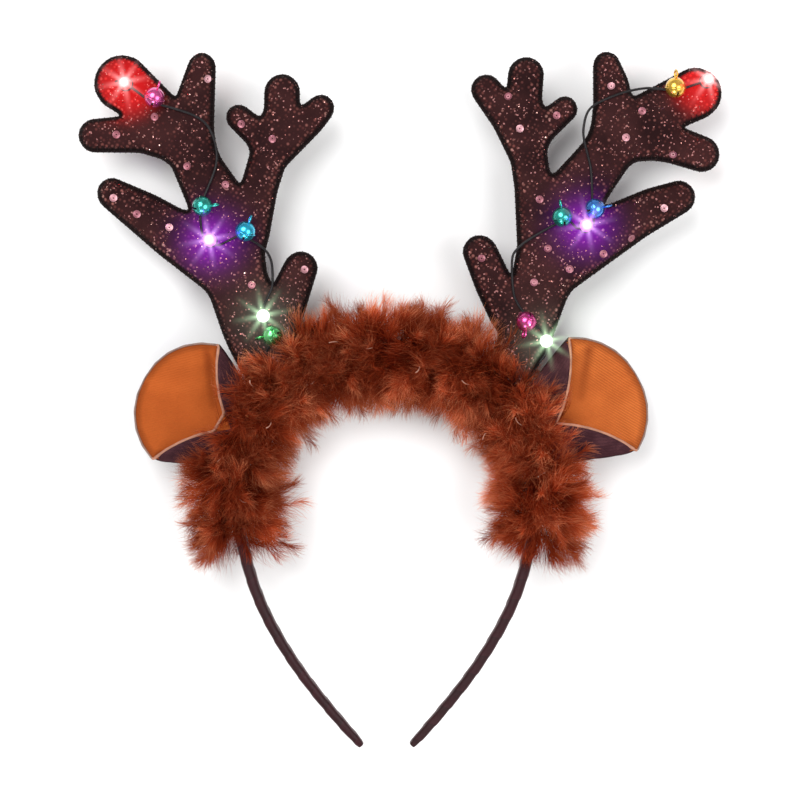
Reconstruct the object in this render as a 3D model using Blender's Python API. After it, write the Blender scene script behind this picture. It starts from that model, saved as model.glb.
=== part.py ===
# Light-up reindeer antler headband, lying on its back. X runs across the head, Y from the band's
# tips up to the antler tips, and Z from the back of the headband to its front.
import math
import random

import bmesh
import bpy
from mathutils import Matrix, Vector

# Driving dimensions, in metres
gap = 0.0003
band_width = 0.122
band_height = 0.155
band_depth = 0.0095
band_thickness = 0.005
tip_depth = 0.0065
tip_thickness = 0.004
band_lift_height = 0.0205
fur_half_length = 0.110
fur_radius = 0.0235
fur_core_radius = 0.0112
antler_height = 0.133
antler_thickness = 0.007
antler_edge_radius = 0.0024
antler_crotch_radius = 0.0029
antler_foot_distance = {"left": -0.046, "right": 0.0476}
ear_foot_distance = 0.0688
ear_half_width = 0.026
ear_base_width = 0.024
ear_base_depth = 0.0066
ear_vertex_height = 0.0075
ear_corner_height = 0.002
ear_rim_depth = 0.0065
ear_belly_depth = 0.005
ear_seam_bow_depth = 0.0018
ear_wall_thickness = 0.001
bell_diameter = 0.008
bell_wall_thickness = 0.0006
bell_slot_width = 0.0009
ring_diameter = 0.003
ring_wire_diameter = 0.0008
light_diameter = 0.005
light_height = 0.0068
collar_diameter = 0.0058
collar_height = 0.0026
wire_diameter = 0.0012
channel_clearance = 0.0004

# Finenesses of the faceted solids
band_spans = 40
band_sides = 8
ear_columns = 20
ear_rows = 4
ball_sides = 8
ball_rings = 5
ring_sides = 6
outline_step_length = 0.0013
outline_tolerance = 0.0004
wire_steps = 5
wire_tolerance = 0.00018
direction_reach = 0.004

# How an antler's outline is walked: lengths as shares of outline_step_length, and counts of steps
outline_walk = {
    "slope_reach": 0.04,
    "least_slope": 0.1,
    "settle_rounds": 3,
    "first_steps": 20,
    "closing": 0.75,
}

# Locks of the fur. sweep leans them along the band and twist round it, both in waves that step with
# each span and side. Locks that point further down than under lie flattened on the floor. The other
# values are shares of a lock's length or of a face.
fur_locks = {
    "sweep": 0.30,
    "sweep_per_span": 1.3,
    "sweep_per_side": 0.9,
    "sweep_spread": 0.16,
    "twist": 0.22,
    "twist_per_span": 0.8,
    "twist_per_side": 1.7,
    "twist_spread": 0.12,
    "end_flare": 0.9,
    "shortest": 0.82,
    "longest": 1.14,
    "middle_at": 0.42,
    "middle_width": 0.74,
    "under": -0.55,
    "seed": 12,
}

# Rings that round off the band's ends: how far back from the tip, as a share of its half thickness,
# and their size as a share of the band there
end_rings = [
    {"back": 0.0, "size": 0.55},
    {"back": 0.55, "size": 0.86},
]

# The bell's slot, as shares of bell_diameter: its length, and how far its middle is below the ball's
slot_share = {"length": 0.72, "down": 0.62}

# Rings of the bulb's dome, in degrees above its shoulder
dome_rings = (35, 65)

# Room that the fur leaves round a bell or a light, as shares of its own sizes
bead_room = {"bell_middle": 0.2, "bell_ring": 0.4, "light_middle": 0.4, "light_radius": 0.72, "lock": 1.05}

# Half of the band's centreline: shares of band_height down, and of half of band_width out.
band_rows = [
    {"down": 0.0, "out": 0.0},
    {"down": 0.07, "out": 0.643},
    {"down": 0.149, "out": 0.866},
    {"down": 0.299, "out": 1.0},
    {"down": 0.466, "out": 0.945},
    {"down": 0.627, "out": 0.829},
    {"down": 0.789, "out": 0.6},
    {"down": 0.931, "out": 0.317},
    {"down": 1.0, "out": 0.16},
]

# Tines of each antler: places and radii along each tine, as shares of antler_height from its foot.
antler_tines = {
    "left": {
        "stem": {
            "out": (-0.013, 0.048, 0.118, 0.144),
            "up": (-0.020, 0.146, 0.321, 0.469),
            "radius": (0.052, 0.094, 0.087, 0.092),
        },
        "branch": {
            "out": (0.153, 0.231, 0.266),
            "up": (0.504, 0.652, 0.731),
            "radius": (0.087, 0.068, 0.066),
        },
        "small_tine": {
            "out": (0.288, 0.402, 0.539),
            "up": (0.722, 0.753, 0.751),
            "radius": (0.052, 0.049, 0.048),
        },
        "round_tine": {
            "out": (0.306, 0.380, 0.459),
            "up": (0.775, 0.845, 0.906),
            "radius": (0.057, 0.066, 0.081),
        },
        "top_tine": {
            "out": (0.245, 0.240, 0.223),
            "up": (0.714, 0.871, 0.958),
            "radius": (0.052, 0.051, 0.037),
        },
        "fork": {
            "out": (0.083, 0.039, -0.009),
            "up": (0.460, 0.644, 0.766),
            "radius": (0.057, 0.050, 0.057),
        },
        "outer_lobe": {
            "out": (0.026, 0.070, 0.114),
            "up": (0.722, 0.766, 0.805),
            "radius": (0.039, 0.037, 0.035),
        },
        "middle_lobe": {
            "out": (-0.009, -0.015, -0.016),
            "up": (0.757, 0.836, 0.882),
            "radius": (0.048, 0.048, 0.049),
        },
        "inner_lobe": {
            "out": (-0.017, -0.083, -0.133),
            "up": (0.722, 0.783, 0.834),
            "radius": (0.048, 0.044, 0.036),
        },
        "low_tine": {
            "out": (0.153, 0.301, 0.389, 0.489),
            "up": (0.382, 0.456, 0.517, 0.579),
            "radius": (0.105, 0.073, 0.059, 0.043),
        },
        "inner_tine": {
            "out": (0.000, -0.044, -0.071),
            "up": (0.190, 0.286, 0.355),
            "radius": (0.066, 0.053, 0.048),
        },
    },
    "right": {
        "stem": {
            "out": (0.000, 0.083, 0.122, 0.157),
            "up": (-0.028, 0.182, 0.313, 0.470),
            "radius": (0.052, 0.074, 0.083, 0.092),
        },
        "branch": {
            "out": (0.197, 0.310, 0.358),
            "up": (0.548, 0.693, 0.758),
            "radius": (0.087, 0.072, 0.070),
        },
        "small_tine": {
            "out": (0.371, 0.485, 0.600),
            "up": (0.732, 0.736, 0.703),
            "radius": (0.048, 0.050, 0.051),
        },
        "round_tine": {
            "out": (0.371, 0.485, 0.583),
            "up": (0.784, 0.837, 0.883),
            "radius": (0.057, 0.068, 0.074),
        },
        "top_tine": {
            "out": (0.328, 0.336, 0.319),
            "up": (0.723, 0.880, 0.968),
            "radius": (0.057, 0.052, 0.037),
        },
        "fork": {
            "out": (0.127, 0.092, 0.074),
            "up": (0.470, 0.662, 0.802),
            "radius": (0.068, 0.050, 0.057),
        },
        "outer_lobe": {
            "out": (0.092, 0.135, 0.194),
            "up": (0.741, 0.784, 0.837),
            "radius": (0.039, 0.037, 0.035),
        },
        "middle_lobe": {
            "out": (0.074, 0.074, 0.079),
            "up": (0.784, 0.889, 0.939),
            "radius": (0.048, 0.048, 0.050),
        },
        "inner_lobe": {
            "out": (0.066, 0.022, -0.041),
            "up": (0.732, 0.810, 0.896),
            "radius": (0.048, 0.044, 0.041),
        },
        "low_tine": {
            "out": (0.179, 0.323, 0.432, 0.533),
            "up": (0.391, 0.470, 0.531, 0.575),
            "radius": (0.092, 0.072, 0.059, 0.046),
        },
        "inner_tine": {
            "out": (0.031, -0.031, -0.059),
            "up": (0.234, 0.343, 0.411),
            "radius": (0.061, 0.050, 0.048),
        },
    },
}

# Each ear: its axis in degrees above the horizontal, then shares of ear_half_width. stand_off is how
# far its V stands out from the band, seam is the depth from the V to the corners, rise is the rim's
# swell past the corners, and the bulges are those of its upper and lower sides.
ear_shapes = {
    "left": {
        "tilt": 30.0,
        "stand_off": 0.02,
        "seam": 0.81,
        "rise": 0.75,
        "upper_bulge": 0.03,
        "lower_bulge": 0.02,
    },
    "right": {
        "tilt": 31.0,
        "stand_off": 0.24,
        "seam": 0.857,
        "rise": 0.61,
        "upper_bulge": 0.02,
        "lower_bulge": 0.02,
    },
}

# Stops of each light wire from the fur outwards, as shares of antler_height from the antler's foot.
# hang is the way a bell hangs off the wire, in degrees anticlockwise from +X.
wire_stops = {
    "left": [
        {"kind": "bend", "out": 0.030, "up": 0.105},
        {"kind": "bell", "name": "green", "out": 0.036, "up": 0.150, "hang": 200.0},
        {"kind": "light", "name": "white", "out": 0.037, "up": 0.212},
        {"kind": "bend", "out": 0.012, "up": 0.300},
        {"kind": "bend", "out": 0.022, "up": 0.395},
        {"kind": "bell", "name": "cyan", "out": 0.083, "up": 0.482, "hang": 60.0},
        {"kind": "light", "name": "purple", "out": 0.195, "up": 0.436},
        {"kind": "bell", "name": "teal", "out": 0.189, "up": 0.538, "hang": 10.0},
        {"kind": "bend", "out": 0.175, "up": 0.680},
        {"kind": "bend", "out": 0.215, "up": 0.790},
        {"kind": "bell", "name": "pink", "out": 0.352, "up": 0.877, "hang": 60.0},
        {"kind": "light", "name": "red", "out": 0.445, "up": 0.899},
        {"kind": "bend", "out": 0.478, "up": 0.905},
    ],
    "right": [
        {"kind": "bend", "out": 0.115, "up": 0.080},
        {"kind": "light", "name": "white", "out": 0.135, "up": 0.145},
        {"kind": "bell", "name": "magenta", "out": 0.072, "up": 0.175, "hang": 250.0},
        {"kind": "bend", "out": 0.044, "up": 0.270},
        {"kind": "bend", "out": 0.035, "up": 0.345},
        {"kind": "bend", "out": 0.042, "up": 0.410},
        {"kind": "bell", "name": "teal", "out": 0.179, "up": 0.538, "hang": 110.0},
        {"kind": "light", "name": "purple", "out": 0.253, "up": 0.487},
        {"kind": "bell", "name": "blue", "out": 0.305, "up": 0.540, "hang": 20.0},
        {"kind": "bend", "out": 0.270, "up": 0.650},
        {"kind": "bend", "out": 0.245, "up": 0.765},
        {"kind": "bend", "out": 0.262, "up": 0.830},
        {"kind": "bend", "out": 0.330, "up": 0.870},
        {"kind": "bend", "out": 0.430, "up": 0.895},
        {"kind": "bell", "name": "gold", "out": 0.517, "up": 0.922, "hang": 95.0},
        {"kind": "light", "name": "red", "out": 0.610, "up": 0.915},
        {"kind": "bend", "out": 0.645, "up": 0.915},
    ],
}

finishes = {
    "band": {"color": (0.045, 0.016, 0.020), "metallic": 0.0, "roughness": 0.5},
    "fur": {"color": (0.26, 0.055, 0.016), "metallic": 0.0, "roughness": 0.9},
    "antler": {"color": (0.030, 0.013, 0.013), "metallic": 0.0, "roughness": 0.7},
    "ear_back": {"color": (0.040, 0.014, 0.018), "metallic": 0.0, "roughness": 0.8},
    "ear_lining": {"color": (0.56, 0.14, 0.022), "metallic": 0.0, "roughness": 0.85},
    "wire": {"color": (0.010, 0.009, 0.011), "metallic": 0.0, "roughness": 0.45},
    "red": {"color": (0.80, 0.015, 0.015), "metallic": 0.0, "roughness": 0.25},
    "purple": {"color": (0.33, 0.03, 0.66), "metallic": 0.0, "roughness": 0.25},
    "white": {"color": (0.85, 0.92, 0.84), "metallic": 0.0, "roughness": 0.25},
    "green": {"color": (0.06, 0.32, 0.06), "metallic": 1.0, "roughness": 0.25},
    "cyan": {"color": (0.02, 0.50, 0.72), "metallic": 1.0, "roughness": 0.25},
    "teal": {"color": (0.02, 0.40, 0.30), "metallic": 1.0, "roughness": 0.25},
    "pink": {"color": (0.75, 0.05, 0.28), "metallic": 1.0, "roughness": 0.25},
    "magenta": {"color": (0.65, 0.03, 0.25), "metallic": 1.0, "roughness": 0.25},
    "blue": {"color": (0.05, 0.22, 0.75), "metallic": 1.0, "roughness": 0.25},
    "gold": {"color": (0.80, 0.42, 0.04), "metallic": 1.0, "roughness": 0.25},
}

# From the middle of a bell to the middle of its ring, whose foot is sunk into the ball
ring_offset = bell_diameter / 2 + ring_diameter / 2 - ring_wire_diameter * 0.3

# Half the thickness of an ear's two walls, with room for the fur round them
ear_cutter_reach = ear_wall_thickness * 1.15 + 2 * gap

# How far the wire runs straight to each side of the middle of each kind of stop
straight_reach = {"bend": 0.0, "bell": ring_wire_diameter * 1.5, "light": collar_diameter * 0.6}

front = Vector((0.0, 0.0, 1.0))
side_sign = {"left": -1.0, "right": 1.0}


def clear_scene():
    for obj in list(bpy.data.objects):
        bpy.data.objects.remove(obj, do_unlink=True)


def make_material(name):
    finish = finishes[name]
    material = bpy.data.materials.new(name)
    material.use_nodes = True
    shader = material.node_tree.nodes["Principled BSDF"]
    shader.inputs["Base Color"].default_value = (*finish["color"], 1.0)
    shader.inputs["Metallic"].default_value = finish["metallic"]
    shader.inputs["Roughness"].default_value = finish["roughness"]
    material.diffuse_color = (*finish["color"], 1.0)
    return material


def object_from(bm, name, finish=None):
    mesh = bpy.data.meshes.new(name)
    bm.to_mesh(mesh)
    bm.free()
    obj = bpy.data.objects.new(name, mesh)
    bpy.context.scene.collection.objects.link(obj)
    if finish:
        mesh.materials.append(make_material(finish))
    return obj


def combine(base, operation, others, solver="EXACT"):
    """Applies a Boolean of each other object to base, and removes the others."""
    for other in others:
        other.hide_render = True
        other.display_type = "WIRE"
        modifier = base.modifiers.new(other.name, "BOOLEAN")
        modifier.operation = operation
        modifier.solver = solver
        modifier.object = other
    evaluated = base.evaluated_get(bpy.context.evaluated_depsgraph_get())
    mesh = bpy.data.meshes.new_from_object(evaluated)
    base.modifiers.clear()
    base.data = mesh
    for other in others:
        bpy.data.objects.remove(other, do_unlink=True)


def smooth_path(rows, steps):
    """Points of a centripetal Catmull-Rom curve through rows of equal length, as vectors."""
    rows = [Vector(row) for row in rows]
    rows = [rows[0] * 2 - rows[1], *rows, rows[-1] * 2 - rows[-2]]
    path = []
    for four in zip(rows, rows[1:], rows[2:], rows[3:]):
        knots = [0.0]
        for start, end in zip(four, four[1:]):
            knots.append(knots[-1] + math.sqrt((end - start).length))
        for step in range(steps):
            now = knots[1] + (knots[2] - knots[1]) * step / steps
            shares = [(now - low) / (high - low) for low, high in zip(knots, knots[1:])]
            level = [start.lerp(end, share) for start, end, share in zip(four, four[1:], shares)]
            shares = [(now - low) / (high - low) for low, high in zip(knots, knots[2:])]
            level = [start.lerp(end, share) for start, end, share in zip(level, level[1:], shares)]
            path.append(level[0].lerp(level[1], step / steps))
    path.append(rows[-2])
    return path


class Path:
    """A curve that is read by the length along it from its first point."""

    def __init__(self, points):
        self.points = points
        self.along = [0.0]
        for start, end in zip(points, points[1:]):
            self.along.append(self.along[-1] + (end - start).length)
        self.length = self.along[-1]

    def at(self, distance):
        distance = min(max(distance, 0.0), self.length)
        index = 0
        while index < len(self.along) - 2 and self.along[index + 1] < distance:
            index += 1
        share = (distance - self.along[index]) / (self.along[index + 1] - self.along[index])
        return self.points[index].lerp(self.points[index + 1], share)

    def direction(self, distance):
        reach = self.length * direction_reach
        return (self.at(distance + reach) - self.at(distance - reach)).normalized()


def band_curve():
    half = [(row["out"] * band_width / 2, -row["down"] * band_height, 0.0) for row in band_rows]
    rows = [(-x, y, z) for x, y, z in reversed(half[1:])] + half
    return Path(smooth_path(rows, 16))


def band_place(along):
    """Point, direction and outward normal of the band, at a length from the middle of its arch."""
    distance = band_path.length / 2 + along
    direction = band_path.direction(distance)
    return band_path.at(distance), direction, front.cross(direction)


def rounded_section(half_thickness, half_depth):
    """Offsets outwards and frontwards round a soft rectangle with a flat inner and outer face."""
    section = []
    for side in range(band_sides):
        angle = 2 * math.pi * (side + 0.5) / band_sides
        out = math.copysign(math.sqrt(abs(math.cos(angle))), math.cos(angle))
        up = math.copysign(math.sqrt(abs(math.sin(angle))), math.sin(angle))
        section.append((out * half_thickness, up * half_depth))
    return section


def band_station(index):
    """Length from the middle of the arch, and the band's half thickness and half depth there."""
    share = 2 * index / band_spans - 1
    taper = max(0.0, (abs(share) - 0.5) / 0.5)
    thickness = band_thickness + (tip_thickness - band_thickness) * taper
    depth = band_depth + (tip_depth - band_depth) * taper
    return share * band_path.length / 2, thickness / 2, depth / 2


def ring_of(bm, along, offsets):
    place, _, outward = band_place(along)
    return [bm.verts.new(place + outward * out + front * up) for out, up in offsets]


def bridge(bm, first, second):
    count = len(first)
    return [
        bm.faces.new((first[i], first[(i + 1) % count], second[(i + 1) % count], second[i]))
        for i in range(count)
    ]


def make_headband():
    bm = bmesh.new()
    rings = []
    for index in range(band_spans + 1):
        along, thickness, depth = band_station(index)
        if index in (0, band_spans):
            inward = -1 if index else 1
            for row in reversed(end_rings) if index else end_rings:
                offsets = rounded_section(thickness * row["size"], depth * row["size"])
                rings.append(ring_of(bm, along + inward * thickness * row["back"], offsets))
        else:
            rings.append(ring_of(bm, along, rounded_section(thickness, depth)))
    for first, second in zip(rings, rings[1:]):
        bridge(bm, first, second)
    bm.faces.new(rings[0])
    bm.faces.new(rings[-1])
    bmesh.ops.recalc_face_normals(bm, faces=bm.faces)
    return object_from(bm, "headband", "band")


def fur_stations():
    half = round(band_spans * fur_half_length / band_path.length)
    return range(band_spans // 2 - half, band_spans // 2 + half + 1)


def round_cone(point, start, end):
    """Signed distance from a point to a straight run of a tine, whose third value is its radius."""
    run_x, run_y = end[0] - start[0], end[1] - start[1]
    to_x, to_y = point[0] - start[0], point[1] - start[1]
    share = (to_x * run_x + to_y * run_y) / (run_x * run_x + run_y * run_y)
    share = min(1.0, max(0.0, share))
    radius = start[2] + share * (end[2] - start[2])
    return math.hypot(to_x - share * run_x, to_y - share * run_y) - radius


def antler_field(side):
    """Signed distance to the antler's outline: its tines joined with soft crotches, cut at the band."""
    foot, _, outward = band_place(antler_foot_distance[side])
    strokes = []
    for tine in antler_tines[side].values():
        placed = [
            (
                foot.x + side_sign[side] * out * antler_height,
                foot.y + up * antler_height,
                radius * antler_height,
            )
            for out, up, radius in zip(tine["out"], tine["up"], tine["radius"])
        ]
        path = [tuple(row) for row in smooth_path(placed, 4)]
        strokes.append(list(zip(path, path[1:])))
    seat = foot + outward * (band_thickness / 2 + gap)

    def field(point):
        joined = 1.0
        for runs in strokes:
            distance = min(round_cone(point, start, end) for start, end in runs)
            blend = max(antler_crotch_radius - abs(joined - distance), 0.0) / antler_crotch_radius
            joined = min(joined, distance) - blend * blend * antler_crotch_radius / 4
        below = (seat.x - point[0]) * outward.x + (seat.y - point[1]) * outward.y
        return max(joined, below)

    return field


def traced_outline(field, start):
    """Walks once round the line where the field is zero, in even steps."""
    reach = outline_step_length * outline_walk["slope_reach"]

    def slope(point):
        x, y = point
        return Vector(
            (
                (field((x + reach, y)) - field((x - reach, y))) / (2 * reach),
                (field((x, y + reach)) - field((x, y - reach))) / (2 * reach),
            )
        )

    def settled(point):
        for _ in range(outline_walk["settle_rounds"]):
            steepness = slope(point)
            divisor = max(steepness.length_squared, outline_walk["least_slope"])
            point = point - steepness * (field(point) / divisor)
        return point

    outline = [settled(Vector(start))]
    closing = outline_step_length * outline_walk["closing"]
    while True:
        steepness = slope(outline[-1]).normalized()
        ahead = settled(outline[-1] + Vector((-steepness.y, steepness.x)) * outline_step_length)
        if len(outline) > outline_walk["first_steps"] and (ahead - outline[0]).length < closing:
            return outline
        outline.append(ahead)


def thinned(points, tolerance):
    """Leaves out the points of an open run that lie within tolerance of a straight line."""
    start, end = points[0], points[-1]
    run = (end - start).normalized()
    offsets = [(point - start - run * (point - start).dot(run)).length for point in points]
    farthest = max(range(len(points)), key=lambda index: offsets[index])
    if offsets[farthest] <= tolerance:
        return [start, end]
    first = thinned(points[: farthest + 1], tolerance)
    return first[:-1] + thinned(points[farthest:], tolerance)


def antler_plate(name, side, grow, finish=None):
    """The padded antler, or its cutter when grow is above zero."""
    field = antler_field(side)
    foot, _, outward = band_place(antler_foot_distance[side])
    start = foot + outward * (band_thickness / 2 + gap)
    outline = traced_outline(lambda point: field(point) - grow, (start.x, start.y))
    half = len(outline) // 2
    outline = (
        thinned(outline[: half + 1], outline_tolerance)[:-1]
        + thinned(outline[half:] + outline[:1], outline_tolerance)[:-1]
    )
    bm = bmesh.new()
    thickness = antler_thickness + 2 * grow
    lower = bm.faces.new([bm.verts.new((x, y, -thickness / 2)) for x, y in outline])
    raised = bmesh.ops.extrude_face_region(bm, geom=[lower])["geom"]
    raised = [item for item in raised if isinstance(item, bmesh.types.BMVert)]
    bmesh.ops.translate(bm, vec=front * thickness, verts=raised)
    bmesh.ops.recalc_face_normals(bm, faces=bm.faces)
    rims = [edge for edge in bm.edges if abs(edge.verts[0].co.z - edge.verts[1].co.z) < 1e-6]
    bmesh.ops.bevel(
        bm,
        geom=rims,
        offset=antler_edge_radius,
        segments=2,
        profile=0.5,
        affect="EDGES",
        material=-1,
    )
    return object_from(bm, name, finish)


def ear_mouth(side, angle):
    """A point of the ear's open edge, as (out, across, front). Angle 0 is the V where its sides meet."""
    shape = ear_shapes[side]
    seam = shape["seam"] * ear_half_width
    rise = shape["rise"] * ear_half_width
    turn = abs(angle) / math.pi
    across = math.copysign(1.0, angle)
    if turn <= 0.5:
        # The front edge, from the V out to a corner
        share = turn * 2
        bow = 4 * share * (1 - share) * ear_seam_bow_depth
        height = ear_vertex_height + (ear_corner_height - ear_vertex_height) * share * share
        return Vector((seam * share + bow, across * (ear_half_width * share - bow), height))
    # The rim, from a corner round to the middle of the back
    radius = (ear_half_width**2 + rise**2) / (2 * rise)
    corner = math.atan2(ear_half_width, radius - rise)
    share = turn * 2 - 1
    swing = corner * (1 - share)
    out = seam + rise - radius + radius * math.cos(swing)
    height = ear_corner_height - (ear_corner_height + ear_rim_depth) * share * share
    return Vector((out, across * radius * math.sin(swing), height))


def ear_grid(side):
    """Rows of points from the ear's pinched base on the band to its open edge, halfway in its wall."""
    shape = ear_shapes[side]
    sign = side_sign[side]
    tilt = math.radians(shape["tilt"])
    out_axis = Vector((sign * math.cos(tilt), math.sin(tilt), 0.0))
    across_axis = Vector((-sign * math.sin(tilt), math.cos(tilt), 0.0))
    centre, _, outward = band_place(sign * ear_foot_distance)
    wall_clear = band_thickness / 2 + gap + ear_wall_thickness
    vertex = centre + outward * (wall_clear + shape["stand_off"] * ear_half_width)
    rows = []
    for row in range(ear_rows + 1):
        share = row / ear_rows
        swell = 4 * share * (1 - share)
        points = []
        for column in range(ear_columns):
            angle = 2 * math.pi * column / ear_columns - math.pi
            along = sign * (ear_foot_distance - math.sin(angle) * ear_base_width / 2)
            base, _, base_outward = band_place(along)
            base = base + base_outward * wall_clear
            base = base + front * (math.cos(angle) * ear_base_depth / 2)
            mouth = ear_mouth(side, angle)
            rim = vertex + out_axis * mouth.x + across_axis * mouth.y + front * mouth.z
            side_bulge = shape["upper_bulge"] if angle > 0 else shape["lower_bulge"]
            point = base.lerp(rim, share)
            point = point + across_axis * (math.sin(angle) * side_bulge * ear_half_width * swell)
            point = point - front * (max(0.0, -math.cos(angle)) * ear_belly_depth * swell)
            points.append(point)
        rows.append(points)
    return rows


def wall_from(name, rows, inner, outer, finish=None):
    """A closed wall between two offsets of a tube's rows, or a filled tube when inner is None."""
    probe = bmesh.new()
    grid = [[probe.verts.new(point) for point in row] for row in rows]
    for first, second in zip(grid, grid[1:]):
        bridge(probe, first, second)
    probe.normal_update()
    normals = [[vert.normal.copy() for vert in row] for row in grid]
    middle = sum((point for row in rows for point in row), Vector()) / (len(rows) * len(rows[0]))
    if sum((rows[1][i] - middle).dot(normals[1][i]) for i in range(len(rows[0]))) < 0:
        normals = [[-normal for normal in row] for row in normals]
    probe.free()

    bm = bmesh.new()

    def offset_grid(offset):
        return [
            [bm.verts.new(point + normal * offset) for point, normal in zip(row, line)]
            for row, line in zip(rows, normals)
        ]

    outside = offset_grid(outer)
    for first, second in zip(outside, outside[1:]):
        bridge(bm, first, second)
    if inner is None:
        for ring in (outside[0], outside[-1]):
            face = bm.faces.new(ring)
            bmesh.ops.poke(bm, faces=[face])
    else:
        inside = offset_grid(inner)
        for first, second in zip(inside, inside[1:]):
            bridge(bm, first, second)
        bridge(bm, inside[0], outside[0])
        bridge(bm, inside[-1], outside[-1])
    # Both sides of a wall, and its neighbour's, are split along the same diagonals.
    bmesh.ops.triangulate(bm, faces=bm.faces, quad_method="FIXED")
    bmesh.ops.recalc_face_normals(bm, faces=bm.faces)
    return object_from(bm, name, finish)


def wire_layout(side):
    """The wire's route and what is strung on it, each with its place on the wire."""
    foot, _, _ = band_place(antler_foot_distance[side])
    face = antler_thickness / 2 + gap
    wire_height = face + wire_diameter / 2
    ring_height = face + ring_diameter / 2 + ring_wire_diameter / 2
    bell_height = face + bell_diameter / 2
    aside = math.sqrt(ring_offset**2 - (bell_height - ring_height) ** 2)
    stops, strung = [], []
    for stop in wire_stops[side]:
        place = foot + Vector((side_sign[side] * stop["out"], stop["up"], 0.0)) * antler_height
        if stop["kind"] == "bell":
            # The wire runs up through the middle of the bell's ring, beside the ball.
            angle = math.radians(stop["hang"])
            ball = place + front * bell_height
            place = place - Vector((math.cos(angle), math.sin(angle), 0.0)) * aside
            place = place + front * ring_height
            strung.append(("bell", stop["name"], place, ball))
        else:
            place = place + front * wire_height
            if stop["kind"] == "light":
                strung.append(("light", stop["name"], place, place))
        stops.append((place, straight_reach[stop["kind"]]))
    route = [stops[0][0]]
    for (before, _), (place, reach), (after, _) in zip(stops, stops[1:], stops[2:]):
        if reach == 0.0:
            route.append(place)
            continue
        run = after - before
        run.z = 0.0
        run.normalize()
        route += [place - run * reach, place, place + run * reach]
    route.append(stops[-1][0])
    return Path(thinned(smooth_path(route, wire_steps), wire_tolerance)), strung


def nearest_direction(path, place):
    index = min(range(len(path.points)), key=lambda i: (path.points[i] - place).length)
    return path.direction(path.along[index])


def make_wire(name, path, radius, finish=None):
    """A round tube along the wire."""
    curve = bpy.data.curves.new(name, "CURVE")
    curve.dimensions = "3D"
    curve.bevel_depth = radius
    curve.bevel_resolution = 1
    curve.use_fill_caps = True
    spline = curve.splines.new("POLY")
    spline.points.add(len(path.points) - 1)
    for place, point in zip(path.points, spline.points):
        point.co = (*place, 1.0)
    obj = bpy.data.objects.new(name, curve)
    bpy.context.scene.collection.objects.link(obj)
    if finish:
        curve.materials.append(make_material(finish))
    return obj


def make_bell_mesh():
    """A hollow ball with a slot across its far side and a ring at its near side, round the origin."""
    bm = bmesh.new()
    bmesh.ops.create_uvsphere(
        bm, u_segments=ball_sides, v_segments=ball_rings, radius=bell_diameter / 2
    )
    ball = object_from(bm, "bell")
    bm = bmesh.new()
    hollow_radius = bell_diameter / 2 - bell_wall_thickness
    bmesh.ops.create_uvsphere(
        bm, u_segments=ball_sides, v_segments=ball_rings, radius=hollow_radius
    )
    hollow = object_from(bm, "bell_hollow")
    bm = bmesh.new()
    bmesh.ops.create_cube(bm, size=1.0)
    slot_size = (bell_diameter * slot_share["length"], bell_slot_width, bell_diameter)
    bmesh.ops.scale(bm, vec=slot_size, verts=bm.verts)
    bmesh.ops.translate(bm, vec=front * (-bell_diameter * slot_share["down"]), verts=bm.verts)
    slot = object_from(bm, "bell_slot")
    combine(ball, "DIFFERENCE", [hollow, slot])
    bm = bmesh.new()
    first = []
    for index in range(4):
        angle = math.pi * (index + 0.5) / 2
        across = ring_diameter / 2 + ring_wire_diameter / 2 * math.sqrt(2) * math.cos(angle)
        first.append(bm.verts.new((0.0, ring_wire_diameter / 2 * math.sqrt(2) * math.sin(angle), across)))
    profile = bm.faces.new(first)
    edges = list(profile.edges)
    bmesh.ops.delete(bm, geom=[profile], context="FACES_ONLY")
    bmesh.ops.spin(
        bm,
        geom=edges,
        cent=(0.0, 0.0, 0.0),
        axis=(0.0, 1.0, 0.0),
        angle=2 * math.pi,
        steps=ring_sides,
        use_merge=True,
    )
    bmesh.ops.translate(bm, vec=(0.0, 0.0, ring_offset), verts=bm.verts)
    bmesh.ops.recalc_face_normals(bm, faces=bm.faces)
    ring = object_from(bm, "bell_ring")
    combine(ball, "UNION", [ring])
    mesh = ball.data
    bpy.data.objects.remove(ball, do_unlink=True)
    return mesh


def make_light_mesh():
    """A domed bulb in a collar whose underside has a channel along X for the wire, base at the origin."""
    collar = collar_diameter / 2
    bulb = light_diameter / 2
    shoulder = light_height - bulb
    profile = [(collar, 0.0), (collar, collar_height), (bulb, collar_height), (bulb, shoulder)]
    profile += [
        (bulb * math.cos(turn), shoulder + bulb * math.sin(turn))
        for turn in map(math.radians, dome_rings)
    ]
    bm = bmesh.new()
    rings = []
    for radius, height in profile:
        ring = bmesh.ops.create_circle(bm, segments=ball_sides, radius=radius)["verts"]
        bmesh.ops.translate(bm, vec=front * height, verts=ring)
        rings.append(ring)
    for first, second in zip(rings, rings[1:]):
        bridge(bm, first, second)
    bm.faces.new(rings[0])
    top = bm.faces.new(rings[-1])
    crown = bmesh.ops.poke(bm, faces=[top])["verts"]
    bmesh.ops.translate(bm, vec=front * (light_height - crown[0].co.z), verts=crown)
    bmesh.ops.recalc_face_normals(bm, faces=bm.faces)
    bulb_object = object_from(bm, "light")
    bm = bmesh.new()
    bmesh.ops.create_cube(bm, size=1.0)
    channel_width = wire_diameter + 2 * channel_clearance
    channel_height = wire_diameter + channel_clearance
    bmesh.ops.scale(bm, vec=(collar_diameter * 2, channel_width, 2 * channel_height), verts=bm.verts)
    channel = object_from(bm, "light_channel")
    combine(bulb_object, "DIFFERENCE", [channel])
    mesh = bulb_object.data
    bpy.data.objects.remove(bulb_object, do_unlink=True)
    return mesh


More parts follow.
